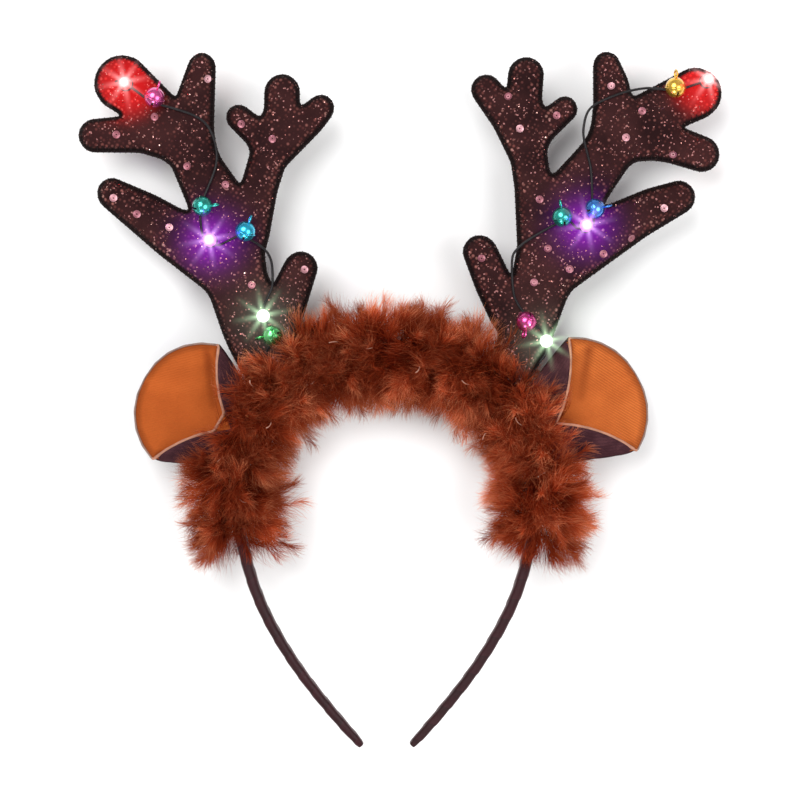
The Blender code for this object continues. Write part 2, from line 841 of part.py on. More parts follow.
def placed_copy(mesh, name, finish, axes, origin):
    copy = mesh.copy()
    copy.name = name
    copy.materials.clear()
    copy.materials.append(make_material(finish))
    obj = bpy.data.objects.new(name, copy)
    bpy.context.scene.collection.objects.link(obj)
    turned = Matrix(axes).transposed().to_4x4()
    obj.matrix_world = Matrix.Translation(origin) @ turned
    return obj


def make_strung_pieces(side):
    path, strung = layouts[side]
    for kind, colour, place, ball in strung:
        along = nearest_direction(path, place)
        name = f"{kind}_{side}_{colour}"
        if kind == "light":
            across = front.cross(along)
            origin = place - front * (wire_diameter / 2)
            placed_copy(light_mesh, name, colour, (along, across, front), origin)
        else:
            up = (place - ball).normalized()
            through = (along - up * along.dot(up)).normalized()
            placed_copy(bell_mesh, name, colour, (through.cross(up), through, up), ball)


def keep_largest_island(obj):
    """Leaves out the loose lock tips that a cut parts from the sleeve."""
    bm = bmesh.new()
    bm.from_mesh(obj.data)
    unseen = set(bm.verts)
    islands = []
    while unseen:
        island, waiting = set(), [unseen.pop()]
        while waiting:
            vert = waiting.pop()
            island.add(vert)
            for edge in vert.link_edges:
                other = edge.other_vert(vert)
                if other in unseen:
                    unseen.discard(other)
                    waiting.append(other)
        islands.append(island)
    islands.sort(key=len)
    for island in islands[:-1]:
        bmesh.ops.delete(bm, geom=list(island), context="VERTS")
    bm.to_mesh(obj.data)
    bm.free()


def make_fur():
    """A sleeve round the band with a lock of fur on each of its faces."""
    rng = random.Random(fur_locks["seed"])
    stations = list(fur_stations())
    bm = bmesh.new()
    outside, inside = [], []
    for index in stations:
        along, thickness, depth = band_station(index)
        core = [
            (
                fur_core_radius * math.cos(2 * math.pi * (side + 0.5) / band_sides),
                fur_core_radius * math.sin(2 * math.pi * (side + 0.5) / band_sides),
            )
            for side in range(band_sides)
        ]
        outside.append(ring_of(bm, along, core))
        inside.append(ring_of(bm, along, rounded_section(thickness + gap, depth + gap)))
    locks = []
    for span, (first, second) in enumerate(zip(outside, outside[1:])):
        locks += [(span, side, face) for side, face in enumerate(bridge(bm, first, second))]
    for first, second in zip(inside, inside[1:]):
        bridge(bm, first, second)
    bridge(bm, outside[0], inside[0])
    bridge(bm, outside[-1], inside[-1])
    bmesh.ops.recalc_face_normals(bm, faces=bm.faces)

    beads = [ball for side in layouts for _, _, _, ball in layouts[side][1]]
    spans = len(stations) - 1
    for span, side, face in locks:
        share = (span + 0.5) / spans
        along = (share * 2 - 1) * (band_station(stations[-1])[0])
        place, direction, outward = band_place(along)
        angle = 2 * math.pi * (side + 1) / band_sides
        wave = span * fur_locks["sweep_per_span"] + side * fur_locks["sweep_per_side"]
        sweep = fur_locks["sweep"] * math.sin(wave)
        sweep += rng.uniform(-fur_locks["sweep_spread"], fur_locks["sweep_spread"])
        end_flare = (2 * share - 1) ** 5 * fur_locks["end_flare"]
        wave = span * fur_locks["twist_per_span"] - side * fur_locks["twist_per_side"]
        twist = fur_locks["twist"] * math.sin(wave)
        twist += rng.uniform(-fur_locks["twist_spread"], fur_locks["twist_spread"])
        radial = outward * math.cos(angle + twist) + front * math.sin(angle + twist)
        leaning = (radial + direction * (sweep + end_flare)).normalized()
        length = fur_radius - fur_core_radius
        length *= rng.uniform(fur_locks["shortest"], fur_locks["longest"])
        centre = face.calc_center_median()
        tip = centre + leaning * length
        if any((tip - bead).length < bell_diameter * bead_room["lock"] for bead in beads):
            continue
        raised = bmesh.ops.extrude_discrete_faces(bm, faces=[face])["faces"][0]
        middle = centre + (leaning + radial).normalized() * (length * fur_locks["middle_at"])
        for vert in raised.verts:
            vert.co = middle + (vert.co - centre) * fur_locks["middle_width"]
        crown = bmesh.ops.poke(bm, faces=[raised])["verts"][0]
        crown.co = tip
        if radial.z < fur_locks["under"] or tip.z < -band_lift_height:
            crown.co.z = -band_lift_height
    fur = object_from(bm, "fur_trim", "fur")

    room = gap + outline_tolerance
    cutters = [antler_plate(f"cut_antler_{side}", side, room) for side in side_sign]
    for side in side_sign:
        cutters.append(wall_from(f"cut_ear_{side}", ear_grid(side), None, ear_cutter_reach))
        radius = wire_diameter / 2 + gap
        cutters.append(tube_mesh(f"cut_wire_{side}", layouts[side][0], radius))
        for kind, colour, place, ball in layouts[side][1]:
            if (ball - band_place(antler_foot_distance[side])[0]).length < fur_radius * 2:
                cutters.append(bead_cutter(f"cut_{kind}_{side}_{colour}", kind, place, ball))
    combine(fur, "DIFFERENCE", cutters, "MANIFOLD")
    keep_largest_island(fur)
    return fur


def tube_mesh(name, path, radius):
    """The wire's tube as a mesh, which a Boolean can take."""
    curve = make_wire(name, path, radius)
    mesh = bpy.data.meshes.new_from_object(
        curve.evaluated_get(bpy.context.evaluated_depsgraph_get())
    )
    bpy.data.objects.remove(curve, do_unlink=True)
    bm = bmesh.new()
    bm.from_mesh(mesh)
    bmesh.ops.remove_doubles(bm, verts=bm.verts, dist=1e-6)
    bmesh.ops.recalc_face_normals(bm, faces=bm.faces)
    return object_from(bm, name)


def bead_cutter(name, kind, place, ball):
    """A ball round a bell or a light, with room round it."""
    bm = bmesh.new()
    if kind == "bell":
        centre = ball.lerp(place, bead_room["bell_middle"])
        radius = bell_diameter / 2 + ring_diameter * bead_room["bell_ring"]
    else:
        centre = place + front * (light_height * bead_room["light_middle"])
        radius = light_height * bead_room["light_radius"]
    bmesh.ops.create_icosphere(bm, subdivisions=2, radius=radius + gap)
    bmesh.ops.translate(bm, vec=centre, verts=bm.verts)
    return object_from(bm, name)


def rest_on_back():
    """Lifts the headband until the back of its fur is on the floor, with the origin below its middle."""
    bpy.context.view_layer.update()
    depsgraph = bpy.context.evaluated_depsgraph_get()
    corners = []
    for obj in bpy.context.scene.objects:
        evaluated = obj.evaluated_get(depsgraph)
        mesh = evaluated.to_mesh()
        corners += [obj.matrix_world @ vert.co for vert in mesh.vertices]
        evaluated.to_mesh_clear()
    lowest = [min(corner[axis] for corner in corners) for axis in range(3)]
    highest = [max(corner[axis] for corner in corners) for axis in range(3)]
    root = bpy.data.objects.new("headband_frame", None)
    bpy.context.scene.collection.objects.link(root)
    for obj in bpy.context.scene.objects:
        if obj != root:
            obj.parent = root
    root.location = (
        -(lowest[0] + highest[0]) / 2,
        -(lowest[1] + highest[1]) / 2,
        band_lift_height,
    )


clear_scene()
band_path = band_curve()
layouts = {side: wire_layout(side) for side in side_sign}
bell_mesh = make_bell_mesh()
light_mesh = make_light_mesh()
make_headband()
make_fur()
for side in side_sign:
    antler_plate(f"antler_{side}", side, 0.0, "antler")
    rows = ear_grid(side)
    middle_gap = gap / 2
    wall_from(f"ear_{side}_shell", rows, middle_gap, middle_gap + ear_wall_thickness, "ear_back")
    wall_from(f"ear_{side}_lining", rows, -middle_gap - ear_wall_thickness, -middle_gap, "ear_lining")
    make_wire(f"wire_{side}", layouts[side][0], wire_diameter / 2, "wire")
    make_strung_pieces(side)
rest_on_back()
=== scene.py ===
import math
import random

import bmesh
import bpy
import numpy as np
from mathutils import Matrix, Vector, noise
from mathutils.bvhtree import BVHTree
from mathutils.kdtree import KDTree


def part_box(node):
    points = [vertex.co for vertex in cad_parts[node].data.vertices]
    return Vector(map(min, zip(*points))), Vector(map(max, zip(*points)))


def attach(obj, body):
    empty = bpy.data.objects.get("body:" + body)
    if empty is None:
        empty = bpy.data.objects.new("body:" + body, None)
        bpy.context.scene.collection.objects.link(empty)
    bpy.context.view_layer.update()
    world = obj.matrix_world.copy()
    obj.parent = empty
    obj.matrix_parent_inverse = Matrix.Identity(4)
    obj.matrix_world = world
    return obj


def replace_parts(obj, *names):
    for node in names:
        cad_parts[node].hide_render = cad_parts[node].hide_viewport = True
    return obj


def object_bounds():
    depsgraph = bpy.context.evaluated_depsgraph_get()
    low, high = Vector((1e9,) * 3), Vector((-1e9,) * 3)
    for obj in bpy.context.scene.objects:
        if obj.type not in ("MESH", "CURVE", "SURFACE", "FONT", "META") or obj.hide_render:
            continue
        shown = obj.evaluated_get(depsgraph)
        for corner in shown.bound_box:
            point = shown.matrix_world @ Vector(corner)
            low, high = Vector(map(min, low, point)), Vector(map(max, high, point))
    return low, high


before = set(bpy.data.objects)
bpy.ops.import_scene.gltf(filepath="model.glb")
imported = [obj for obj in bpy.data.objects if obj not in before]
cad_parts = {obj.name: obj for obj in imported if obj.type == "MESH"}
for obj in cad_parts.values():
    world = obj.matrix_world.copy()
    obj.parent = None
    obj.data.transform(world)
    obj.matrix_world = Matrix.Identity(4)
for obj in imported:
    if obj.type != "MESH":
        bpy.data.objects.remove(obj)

cadBox = [list(corner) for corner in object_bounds()]
front = Vector((0.0, 0.0, 1.0))
sides = {"left": -1.0, "right": 1.0}


# Materials and nodes

def newMaterial(name, reflection=0.5):
    material = bpy.data.materials.new(name)
    material.use_nodes = True
    tree = material.node_tree
    shader = tree.nodes["Principled BSDF"]
    shader.inputs["Specular IOR Level"].default_value = reflection
    return material, tree, shader


def setInputs(node, inputs):
    for name, value in inputs.items():
        if isinstance(value, bpy.types.NodeSocket):
            node.id_data.links.new(value, node.inputs[name])
        else:
            node.inputs[name].default_value = value


def addNode(tree, kind, inputs=None, **settings):
    node = tree.nodes.new(kind)
    for name, value in settings.items():
        setattr(node, name, value)
    setInputs(node, inputs or {})
    return node


def calc(tree, operation, first, second=0.0, third=0.0):
    node = addNode(tree, "ShaderNodeMath", {0: first, 1: second, 2: third}, operation=operation)
    return node.outputs[0]


def ramp(tree, value, stops):
    node = addNode(tree, "ShaderNodeValToRGB", {"Fac": value})
    band = node.color_ramp
    while len(band.elements) < len(stops):
        band.elements.new(0.5)
    for element, (place, color) in zip(band.elements, stops):
        element.position = place
        element.color = (*color, 1.0)
    return node.outputs["Color"]


def mixed(tree, share, first, second, blend="MIX"):
    colors = [value if isinstance(value, bpy.types.NodeSocket) else (*value, 1.0)
              for value in (first, second)]
    inputs = {0: share, 6: colors[0], 7: colors[1]}
    return addNode(tree, "ShaderNodeMix", inputs, data_type="RGBA", blend_type=blend).outputs[2]


def placed(tree, scale=(1.0, 1.0, 1.0), turn=(0.0, 0.0, 0.0)):
    coordinates = addNode(tree, "ShaderNodeTexCoord").outputs["Object"]
    settings = {"Vector": coordinates, "Scale": scale, "Rotation": turn}
    return addNode(tree, "ShaderNodeMapping", settings).outputs["Vector"]


def noiseOf(tree, scale, detail=2.0):
    settings = {"Scale": scale, "Detail": detail, "Vector": placed(tree)}
    return addNode(tree, "ShaderNodeTexNoise", settings).outputs["Fac"]


def attribute(tree, name):
    return addNode(tree, "ShaderNodeAttribute", attribute_name=name).outputs["Fac"]


def bump(tree, height, distance, strength):
    settings = {"Height": height, "Distance": distance, "Strength": strength}
    return addNode(tree, "ShaderNodeBump", settings).outputs["Normal"]


# Pieces

def newPiece(name, mesh, material):
    mesh.name = name
    mesh.materials.clear()
    mesh.materials.append(material)
    mesh.shade_smooth()
    piece = bpy.data.objects.new(name, mesh)
    bpy.context.scene.collection.objects.link(piece)
    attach(piece, "root")
    return piece


def meshOf(bm):
    mesh = bpy.data.meshes.new("mesh")
    bm.to_mesh(mesh)
    bm.free()
    return mesh


def cadCopy(node, quads=True):
    bm = bmesh.new()
    bm.from_mesh(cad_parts[node].data)
    bmesh.ops.remove_doubles(bm, verts=bm.verts, dist=0.000002)
    if quads:
        bmesh.ops.join_triangles(bm, faces=bm.faces, angle_face_threshold=0.7, angle_shape_threshold=1.3)
    bmesh.ops.recalc_face_normals(bm, faces=bm.faces)
    return bm


def withModifiers(mesh, *modifiers):
    helper = bpy.data.objects.new("helper", mesh)
    bpy.context.scene.collection.objects.link(helper)
    for kind, settings in modifiers:
        modifier = helper.modifiers.new(kind.lower(), kind)
        for name, value in settings.items():
            setattr(modifier, name, value)
    depsgraph = bpy.context.evaluated_depsgraph_get()
    made = bpy.data.meshes.new_from_object(helper.evaluated_get(depsgraph))
    bpy.data.objects.remove(helper)
    return made


def subdivision(levels):
    return ("SUBSURF", {"levels": levels, "render_levels": levels})


def pointsOf(mesh):
    points = np.empty(len(mesh.vertices) * 3)
    mesh.vertices.foreach_get("co", points)
    return points.reshape(-1, 3)


def normalsOf(mesh):
    normals = np.empty(len(mesh.vertices) * 3)
    mesh.vertices.foreach_get("normal", normals)
    return normals.reshape(-1, 3)


def setPoints(mesh, points):
    mesh.vertices.foreach_set("co", points.astype(np.float32).ravel())
    mesh.update()


def setAttribute(mesh, name, values):
    layer = mesh.attributes.new(name, "FLOAT", "POINT")
    layer.data.foreach_set("value", np.asarray(values, np.float32).ravel())


def unit(values):
    return values / np.maximum(np.linalg.norm(values, axis=-1, keepdims=True), 1e-9)


def insideLoop(points, loop):
    inside = np.zeros(len(points), bool)
    for start, end in zip(loop, np.roll(loop, -1, 0)):
        crosses = (start[1] > points[:, 1]) != (end[1] > points[:, 1])
        rise = end[1] - start[1] if end[1] != start[1] else 1e-9
        level = start[0] + (points[:, 1] - start[1]) * (end[0] - start[0]) / rise
        inside ^= crosses & (points[:, 0] < level)
    return inside


def fineNoise(points, size, seed):
    shift = Vector((seed, seed * 1.7, seed * 0.6))
    return np.array([noise.noise(Vector(point) / size + shift) for point in points])


def softFolds(points, rows):
    return sum(fineNoise(points, size, seed) * weight for size, seed, weight in rows)


def nearestOnHoop(points, step, parts):
    return np.concatenate([
        np.argmin(((part[:, None, :2] - hoopLine[None, ::step, :2]) ** 2).sum(-1), axis=1) * step
        for part in np.array_split(points, parts)
    ])


def fromHoop(points, step=8):
    return np.linalg.norm(hoopLine[None, ::step, :2] - points[:, None, :2], axis=2).min(1)


def treeOf(points):
    tree = KDTree(len(points))
    for index, point in enumerate(points):
        tree.insert(point, index)
    tree.balance()
    return tree


def walkedLoops(edges):
    links = {}
    for edge in edges:
        for vert in edge.verts:
            links.setdefault(vert, []).append(edge.other_vert(vert))
    loops = []
    while links:
        vert = next(iter(links))
        loop = []
        while vert is not None:
            loop.append(vert)
            ahead = [other for other in links.pop(vert) if other in links]
            vert = ahead[0] if ahead else None
        loops.append([vert.co.copy() for vert in loop])
    return sorted(loops, key=len)


def evenLoop(points, step, rounds):
    points = np.array([list(point) for point in points])
    closed = np.vstack([points, points[:1]])
    along = np.concatenate([[0.0], np.cumsum(np.linalg.norm(np.diff(closed, axis=0), axis=1))])
    wanted = np.linspace(0.0, along[-1], max(8, round(along[-1] / step)), endpoint=False)
    points = np.stack([np.interp(wanted, along, closed[:, axis]) for axis in range(3)], axis=1)
    for _ in range(rounds):
        points = points * 0.5 + (np.roll(points, 1, 0) + np.roll(points, -1, 0)) * 0.25
    return points


def tubes(lines, radius, closed=False, roundness=2, radii=None):
    curve = bpy.data.curves.new("tubes", "CURVE")
    curve.dimensions = "3D"
    curve.bevel_depth = radius
    curve.bevel_resolution = roundness
    curve.use_fill_caps = True
    for line in lines:
        spline = curve.splines.new("POLY")
        spline.points.add(len(line) - 1)
        spline.use_cyclic_u = closed
        values = np.ones((len(line), 4))
        values[:, :3] = line
        spline.points.foreach_set("co", values.ravel())
        if radii is not None:
            spline.points.foreach_set("radius", radii)
    helper = bpy.data.objects.new("tubes", curve)
    bpy.context.scene.collection.objects.link(helper)
    depsgraph = bpy.context.evaluated_depsgraph_get()
    mesh = bpy.data.meshes.new_from_object(helper.evaluated_get(depsgraph))
    bpy.data.objects.remove(helper)
    return mesh


def spun(profile, segments):
    bm = bmesh.new()
    verts = [bm.verts.new((reach, 0.0, height)) for reach, height in profile]
    edges = [bm.edges.new(pair) for pair in zip(verts, verts[1:])]
    bmesh.ops.spin(
        bm,
        geom=verts + edges,
        cent=(0.0, 0.0, 0.0),
        axis=(0.0, 0.0, 1.0),
        angle=2 * math.pi,
        steps=segments,
        use_merge=True,
    )
    bmesh.ops.remove_doubles(bm, verts=bm.verts, dist=0.000005)
    bmesh.ops.recalc_face_normals(bm, faces=bm.faces)
    return bm


# The hoop's line, which the ribbon and the fur follow, and places in the photo

hoop = {"width": 0.122, "height": 0.155, "thickness": 0.005, "pixel": 0.00058, "photoTop": (553.5, 527.0)}
# How far down from the top and how far out, as shares of the height and of half the width
hoopRows = [
    (0.0, 0.0),
    (0.07, 0.643),
    (0.149, 0.866),
    (0.299, 1.0),
    (0.466, 0.945),
    (0.627, 0.829),
    (0.789, 0.6),
    (0.931, 0.317),
    (1.0, 0.16),
]
hoopLow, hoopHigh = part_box("headband")
hoopMiddle = (hoopLow + hoopHigh) / 2
hoopTop = Vector((hoopMiddle.x, hoopHigh.y - hoop["thickness"] / 2, hoopMiddle.z))


def inPhoto(across, down, height=0.0):
    topAcross, topDown = hoop["photoTop"]
    return Vector((
        hoopTop.x + (across - topAcross) * hoop["pixel"],
        hoopTop.y + (topDown - down) * hoop["pixel"],
        height,
    ))


def smoothRun(rows, steps):
    rows = [Vector(row) for row in rows]
    rows = [rows[0] * 2 - rows[1], *rows, rows[-1] * 2 - rows[-2]]
    run = []
    for four in zip(rows, rows[1:], rows[2:], rows[3:]):
        knots = [0.0]
        for start, end in zip(four, four[1:]):
            knots.append(knots[-1] + math.sqrt((end - start).length))
        for step in range(steps):
            now = knots[1] + (knots[2] - knots[1]) * step / steps
            shares = [(now - low) / (high - low) for low, high in zip(knots, knots[1:])]
            level = [start.lerp(end, share) for start, end, share in zip(four, four[1:], shares)]
            shares = [(now - low) / (high - low) for low, high in zip(knots, knots[2:])]
            level = [start.lerp(end, share) for start, end, share in zip(level, level[1:], shares)]
            run.append(level[0].lerp(level[1], step / steps))
    return run + [rows[-2]]


hoopHalf = [
    hoopTop + Vector((out * hoop["width"] / 2, -down * hoop["height"], 0.0))
    for down, out in hoopRows
]
hoopOther = [Vector((2 * hoopTop.x - row.x, row.y, row.z)) for row in reversed(hoopHalf[1:])]
hoopLine = np.array([list(point) for point in smoothRun(hoopOther + hoopHalf, 60)])
hoopAlong = np.concatenate([[0.0], np.cumsum(np.linalg.norm(np.diff(hoopLine, axis=0), axis=1))])
hoopAlong -= hoopAlong[-1] / 2
hoopWay = np.gradient(hoopLine, hoopAlong, axis=0)
hoopWay /= np.linalg.norm(hoopWay, axis=1, keepdims=True)


def onHoop(along):
    place = np.stack([np.interp(along, hoopAlong, hoopLine[:, axis]) for axis in range(3)], axis=-1)
    way = np.stack([np.interp(along, hoopAlong, hoopWay[:, axis]) for axis in range(3)], axis=-1)
    way /= np.linalg.norm(way, axis=-1, keepdims=True)
    outward = np.stack([-way[..., 1], way[..., 0], np.zeros(way.shape[:-1])], axis=-1)
    return place, way, outward


# The lights' places, round which a glow of their colour is painted on the antlers' cloth

glowColors = {"red": (1.0, 0.03, 0.04), "purple": (0.45, 0.04, 1.0), "white": (0.62, 1.0, 0.62)}
glows = []
for name in sorted(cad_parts):
    if name.startswith("light_"):
        low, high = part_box(name)
        glows.append({"node": name, "side": name.split("_")[1], "color": name.split("_")[2],
                      "low": low, "high": high, "middle": (low + high) / 2})


# Satin ribbon on the hoop

ribbon = {"pitch": 0.0085, "step": 0.00024, "lip": 0.12, "threads": 46.0, "crossThreads": 260.0}


def makeRibbonMaterial():
    material, tree, shader = newMaterial("ribbon_satin", 0.18)
    wrap = attribute(tree, "wrap")
    turn = attribute(tree, "turn")
    phase = calc(tree, "FRACT", calc(tree, "ADD", wrap, turn))
    threads = calc(tree, "SINE", calc(tree, "MULTIPLY", phase, ribbon["threads"] * 2 * math.pi))
    lines = calc(tree, "SINE", calc(tree, "MULTIPLY", turn, ribbon["crossThreads"]))
    grain = noiseOf(tree, 900.0, 3.0)
    # Each turn is painted lighter towards the raised edge of its overlap, a painted highlight, over a random
    # tone
    tone = calc(tree, "MULTIPLY_ADD", noiseOf(tree, 60.0), 0.5, calc(tree, "MULTIPLY", phase, 0.20))
    color = ramp(tree, tone, [(0.1, (0.014, 0.003, 0.004)), (0.5, (0.034, 0.007, 0.010)),
                              (0.95, (0.080, 0.020, 0.026))])
    # A painted shade line on the step where each turn drops down to the next
    edge = calc(tree, "LESS_THAN", phase, 0.05)
    color = mixed(tree, calc(tree, "MULTIPLY", edge, 0.35), color, (0.012, 0.004, 0.005))
    weave = calc(tree, "MULTIPLY_ADD", lines, 0.4, calc(tree, "MULTIPLY", threads, 0.6))
    setInputs(shader, {
        "Base Color": color,
        "Roughness": calc(tree, "MULTIPLY_ADD", grain, 0.22, 0.30),
        "Sheen Weight": 0.10,
        "Sheen Roughness": 0.4,
        "Sheen Tint": (0.9, 0.35, 0.40, 1.0),
        "Normal": bump(tree, weave, 0.00004, 0.5),
    })
    return material


def makeRibbon():
    mesh = withModifiers(meshOf(cadCopy("headband")), subdivision(3))
    points = pointsOf(mesh)
    along = hoopAlong[nearestOnHoop(points, 1, 40)]
    place, _, outward = onHoop(along)
    across = ((points - place) * outward).sum(1)
    turn = np.arctan2(across, points[:, 2] - hoopTop.z) / (2 * math.pi)
    wrap = along / ribbon["pitch"]
    phase = (wrap + turn) % 1.0
    lip = ribbon["lip"]
    lift = np.where(phase < lip, 1.0 - phase / lip, (phase - lip) / (1.0 - lip))
    points += normalsOf(mesh) * ((lift - 0.5) * ribbon["step"])[:, None]
    setPoints(mesh, points)
    setAttribute(mesh, "wrap", wrap)
    setAttribute(mesh, "turn", turn)
    piece = newPiece("ribbon_wrapped_hoop", mesh, makeRibbonMaterial())
    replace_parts(piece, "headband")


makeRibbon()
print("ribbon done")


# Antlers: padded glitter fabric, bound edge, sequins

antler = {
    "voxel": 0.0008,
    "pinch": 0.0011,
    "puff": 0.0007,
    "wrinkle": 0.00035,
    "halfThickness": 0.0035,
    "puffEdge": 0.0085,
    "pinchEdge": 0.0032,
    "cordRadius": 0.0006,
    "threadRadius": 0.00017,
    "netPitch": 0.0017,
    "netTurn": 0.62,
}
# The cloth's folds: size, seed and weight
antlerFolds = [(0.013, 3.0, 0.7), (0.006, 8.0, 0.3)]
# A stitch over the edge: how far in from the cord's line, and how far off the middle plane
stitchRows = [(-0.0007, 0.0), (-0.00036, 0.0007), (0.0004, 0.0013), (0.0011, 0.0023), (0.0019, 0.0028)]


# Painted light: each bulb's colour is painted onto the cloth as emission, fading with distance from the bulb
def paintedGlowOn(tree, side, reach):
    place = addNode(tree, "ShaderNodeTexCoord").outputs["Object"]
    total = None
    for glow in glows:
        if glow["side"] != side:
            continue
        distance, power, strength, tint = reach[glow["color"]]
        away = addNode(tree, "ShaderNodeVectorMath", {0: place, 1: glow["middle"]},
                       operation="DISTANCE").outputs["Value"]
        near = calc(tree, "POWER", calc(tree, "MULTIPLY", away, 1.0 / distance), power)
        fall = calc(tree, "MULTIPLY", calc(tree, "EXPONENT", calc(tree, "MULTIPLY", near, -1.0)), strength)
        paintedLight = mixed(tree, 1.0, tint, fall, "MULTIPLY")
        total = paintedLight if total is None else mixed(tree, 1.0, total, paintedLight, "ADD")
    return total


# How far each colour's painted glow reaches over the cloth, how sharply it ends, its strength and its tint
antlerPaintedGlow = {
    "red": (0.0130, 4.0, 0.90, (1.0, 0.002, 0.004)),
    "purple": (0.0088, 1.8, 0.95, (0.40, 0.004, 0.82)),
    "white": (0.0085, 1.6, 0.15, (0.82, 1.0, 0.76)),
}


def makeAntlerMaterial(side):
    material, tree, shader = newMaterial(f"antler_glitter_{side}", 0.05)
    pitch = 1.0 / antler["netPitch"]
    net = placed(tree, (pitch, pitch, pitch * 0.6), (0.0, 0.0, antler["netTurn"]))
    cells = addNode(tree, "ShaderNodeTexVoronoi", {"Vector": net, "Scale": 1.0, "Randomness": 0.42})
    dot = ramp(tree, cells.outputs["Distance"], [(0.16, (1, 1, 1)), (0.48, (0, 0, 0))])
    tint = cells.outputs["Color"]
    pick = addNode(tree, "ShaderNodeSeparateColor", {"Color": tint})
    patches = ramp(tree, noiseOf(tree, 55.0, 2.0), [(0.3, (0.35, 0.35, 0.35)), (0.65, (1, 1, 1))])
    bright = calc(tree, "MULTIPLY", calc(tree, "POWER", pick.outputs[0], 1.9), patches)
    specks = addNode(tree, "ShaderNodeTexVoronoi", {"Vector": placed(tree), "Scale": 1900.0})
    sparkle = addNode(tree, "ShaderNodeSeparateColor", {"Color": specks.outputs["Color"]})
    spark = calc(tree, "GREATER_THAN", sparkle.outputs[0], 0.975)
    turned = placed(tree, turn=(0.0, 0.0, antler["netTurn"]))
    weave = addNode(tree, "ShaderNodeTexWave",
                    {"Vector": turned, "Scale": 900.0, "Distortion": 1.2, "Detail": 2.0})
    cloth = ramp(tree, noiseOf(tree, 70.0, 4.0),
                 [(0.3, (0.016, 0.0055, 0.006)), (0.7, (0.040, 0.013, 0.013))])
    foil = ramp(tree, bright, [(0.0, (0.070, 0.020, 0.019)), (0.35, (0.15, 0.046, 0.040)),
                               (0.70, (0.26, 0.100, 0.085)), (1.0, (0.50, 0.26, 0.22))])
    color = mixed(tree, dot, cloth, foil)
    color = mixed(tree, spark, color, (0.42, 0.20, 0.19))
    rim = attribute(tree, "rim")
    bound = ramp(tree, calc(tree, "MULTIPLY", rim, 1.0 / 0.004), [(0.18, (1, 1, 1)), (0.42, (0, 0, 0))])
    color = mixed(tree, bound, color, (0.008, 0.004, 0.004))
    shine = calc(tree, "MULTIPLY", calc(tree, "MAXIMUM", calc(tree, "MULTIPLY", dot, 0.7), spark), 0.8)
    # The bulbs' painted glow, brighter on the foil dots and kept off the black binding
    glow = paintedGlowOn(tree, side, antlerPaintedGlow)
    net = mixed(tree, dot, (0.75, 0.75, 0.75), (1.15, 1.15, 1.15))
    paintedLedGlow = mixed(tree, 1.0, glow, net, "MULTIPLY")
    paintedLedGlow = mixed(tree, bound, paintedLedGlow, (0.0, 0.0, 0.0))
    # Every foil dot leans its own way
    lean = addNode(tree, "ShaderNodeVectorMath", {0: tint, 1: (0.5, 0.5, 0.5)}, operation="SUBTRACT")
    lean = addNode(tree, "ShaderNodeVectorMath", {0: lean.outputs[0]}, operation="SCALE")
    tree.links.new(calc(tree, "MULTIPLY", dot, 0.7), lean.inputs["Scale"])
    relief = calc(tree, "MULTIPLY_ADD", weave.outputs["Fac"], 0.35, dot)
    relief = bump(tree, relief, 0.00012, 0.8)
    relief = addNode(tree, "ShaderNodeVectorMath", {0: relief, 1: lean.outputs[0]}, operation="ADD")
    relief = addNode(tree, "ShaderNodeVectorMath", {0: relief.outputs[0]}, operation="NORMALIZE")
    setInputs(shader, {
        "Base Color": color,
        "Metallic": shine,
        "Roughness": calc(tree, "MULTIPLY_ADD", dot, -0.34, 0.80),
        "Emission Color": paintedLedGlow,
        "Emission Strength": 1.0,
        "Normal": relief.outputs[0],
    })
    return material


def makeThreadMaterial(name, color, rough=0.75):
    material, tree, shader = newMaterial(name, 0.1)
    twist = addNode(tree, "ShaderNodeTexWave", {"Vector": placed(tree, turn=(0.4, 0.3, 0.8)), "Scale": 1500.0,
                                                "Distortion": 2.0}).outputs["Fac"]
    dark = tuple(value * 0.45 for value in color)
    # Darker along the twist's grooves, a painted shade, over a random tone
    tone = calc(tree, "MULTIPLY_ADD", noiseOf(tree, 300.0), 0.6, calc(tree, "MULTIPLY", twist, 0.4))
    setInputs(shader, {
        "Base Color": ramp(tree, tone, [(0.25, dark), (0.75, color)]),
        "Roughness": rough,
        "Sheen Weight": 0.15,
        "Sheen Tint": (*color, 1.0),
        "Normal": bump(tree, twist, 0.00008, 0.7),
    })
    return material


blackThread = makeThreadMaterial("black_thread", (0.022, 0.013, 0.013))


def antlerOutline(node):
    low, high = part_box(node)
    middle = (low.z + high.z) / 2
    bm = cadCopy(node, quads=False)
    heights = sorted({round(vert.co.z - middle, 5) for vert in bm.verts if vert.co.z > middle})
    level = heights[0]
    rim = [edge for edge in bm.edges if all(abs(vert.co.z - middle - level) < 0.00003 for vert in edge.verts)]
    outline = walkedLoops(rim)[-1]
    bm.free()
    return evenLoop([Vector((point.x, point.y, middle)) for point in outline], 0.0011, 2), middle


def rimDistance(points, outline):
    tree = treeOf(outline)
    flat = points.copy()
    flat[:, 2] = outline[0][2]
    return np.array([tree.find(point)[2] for point in flat])


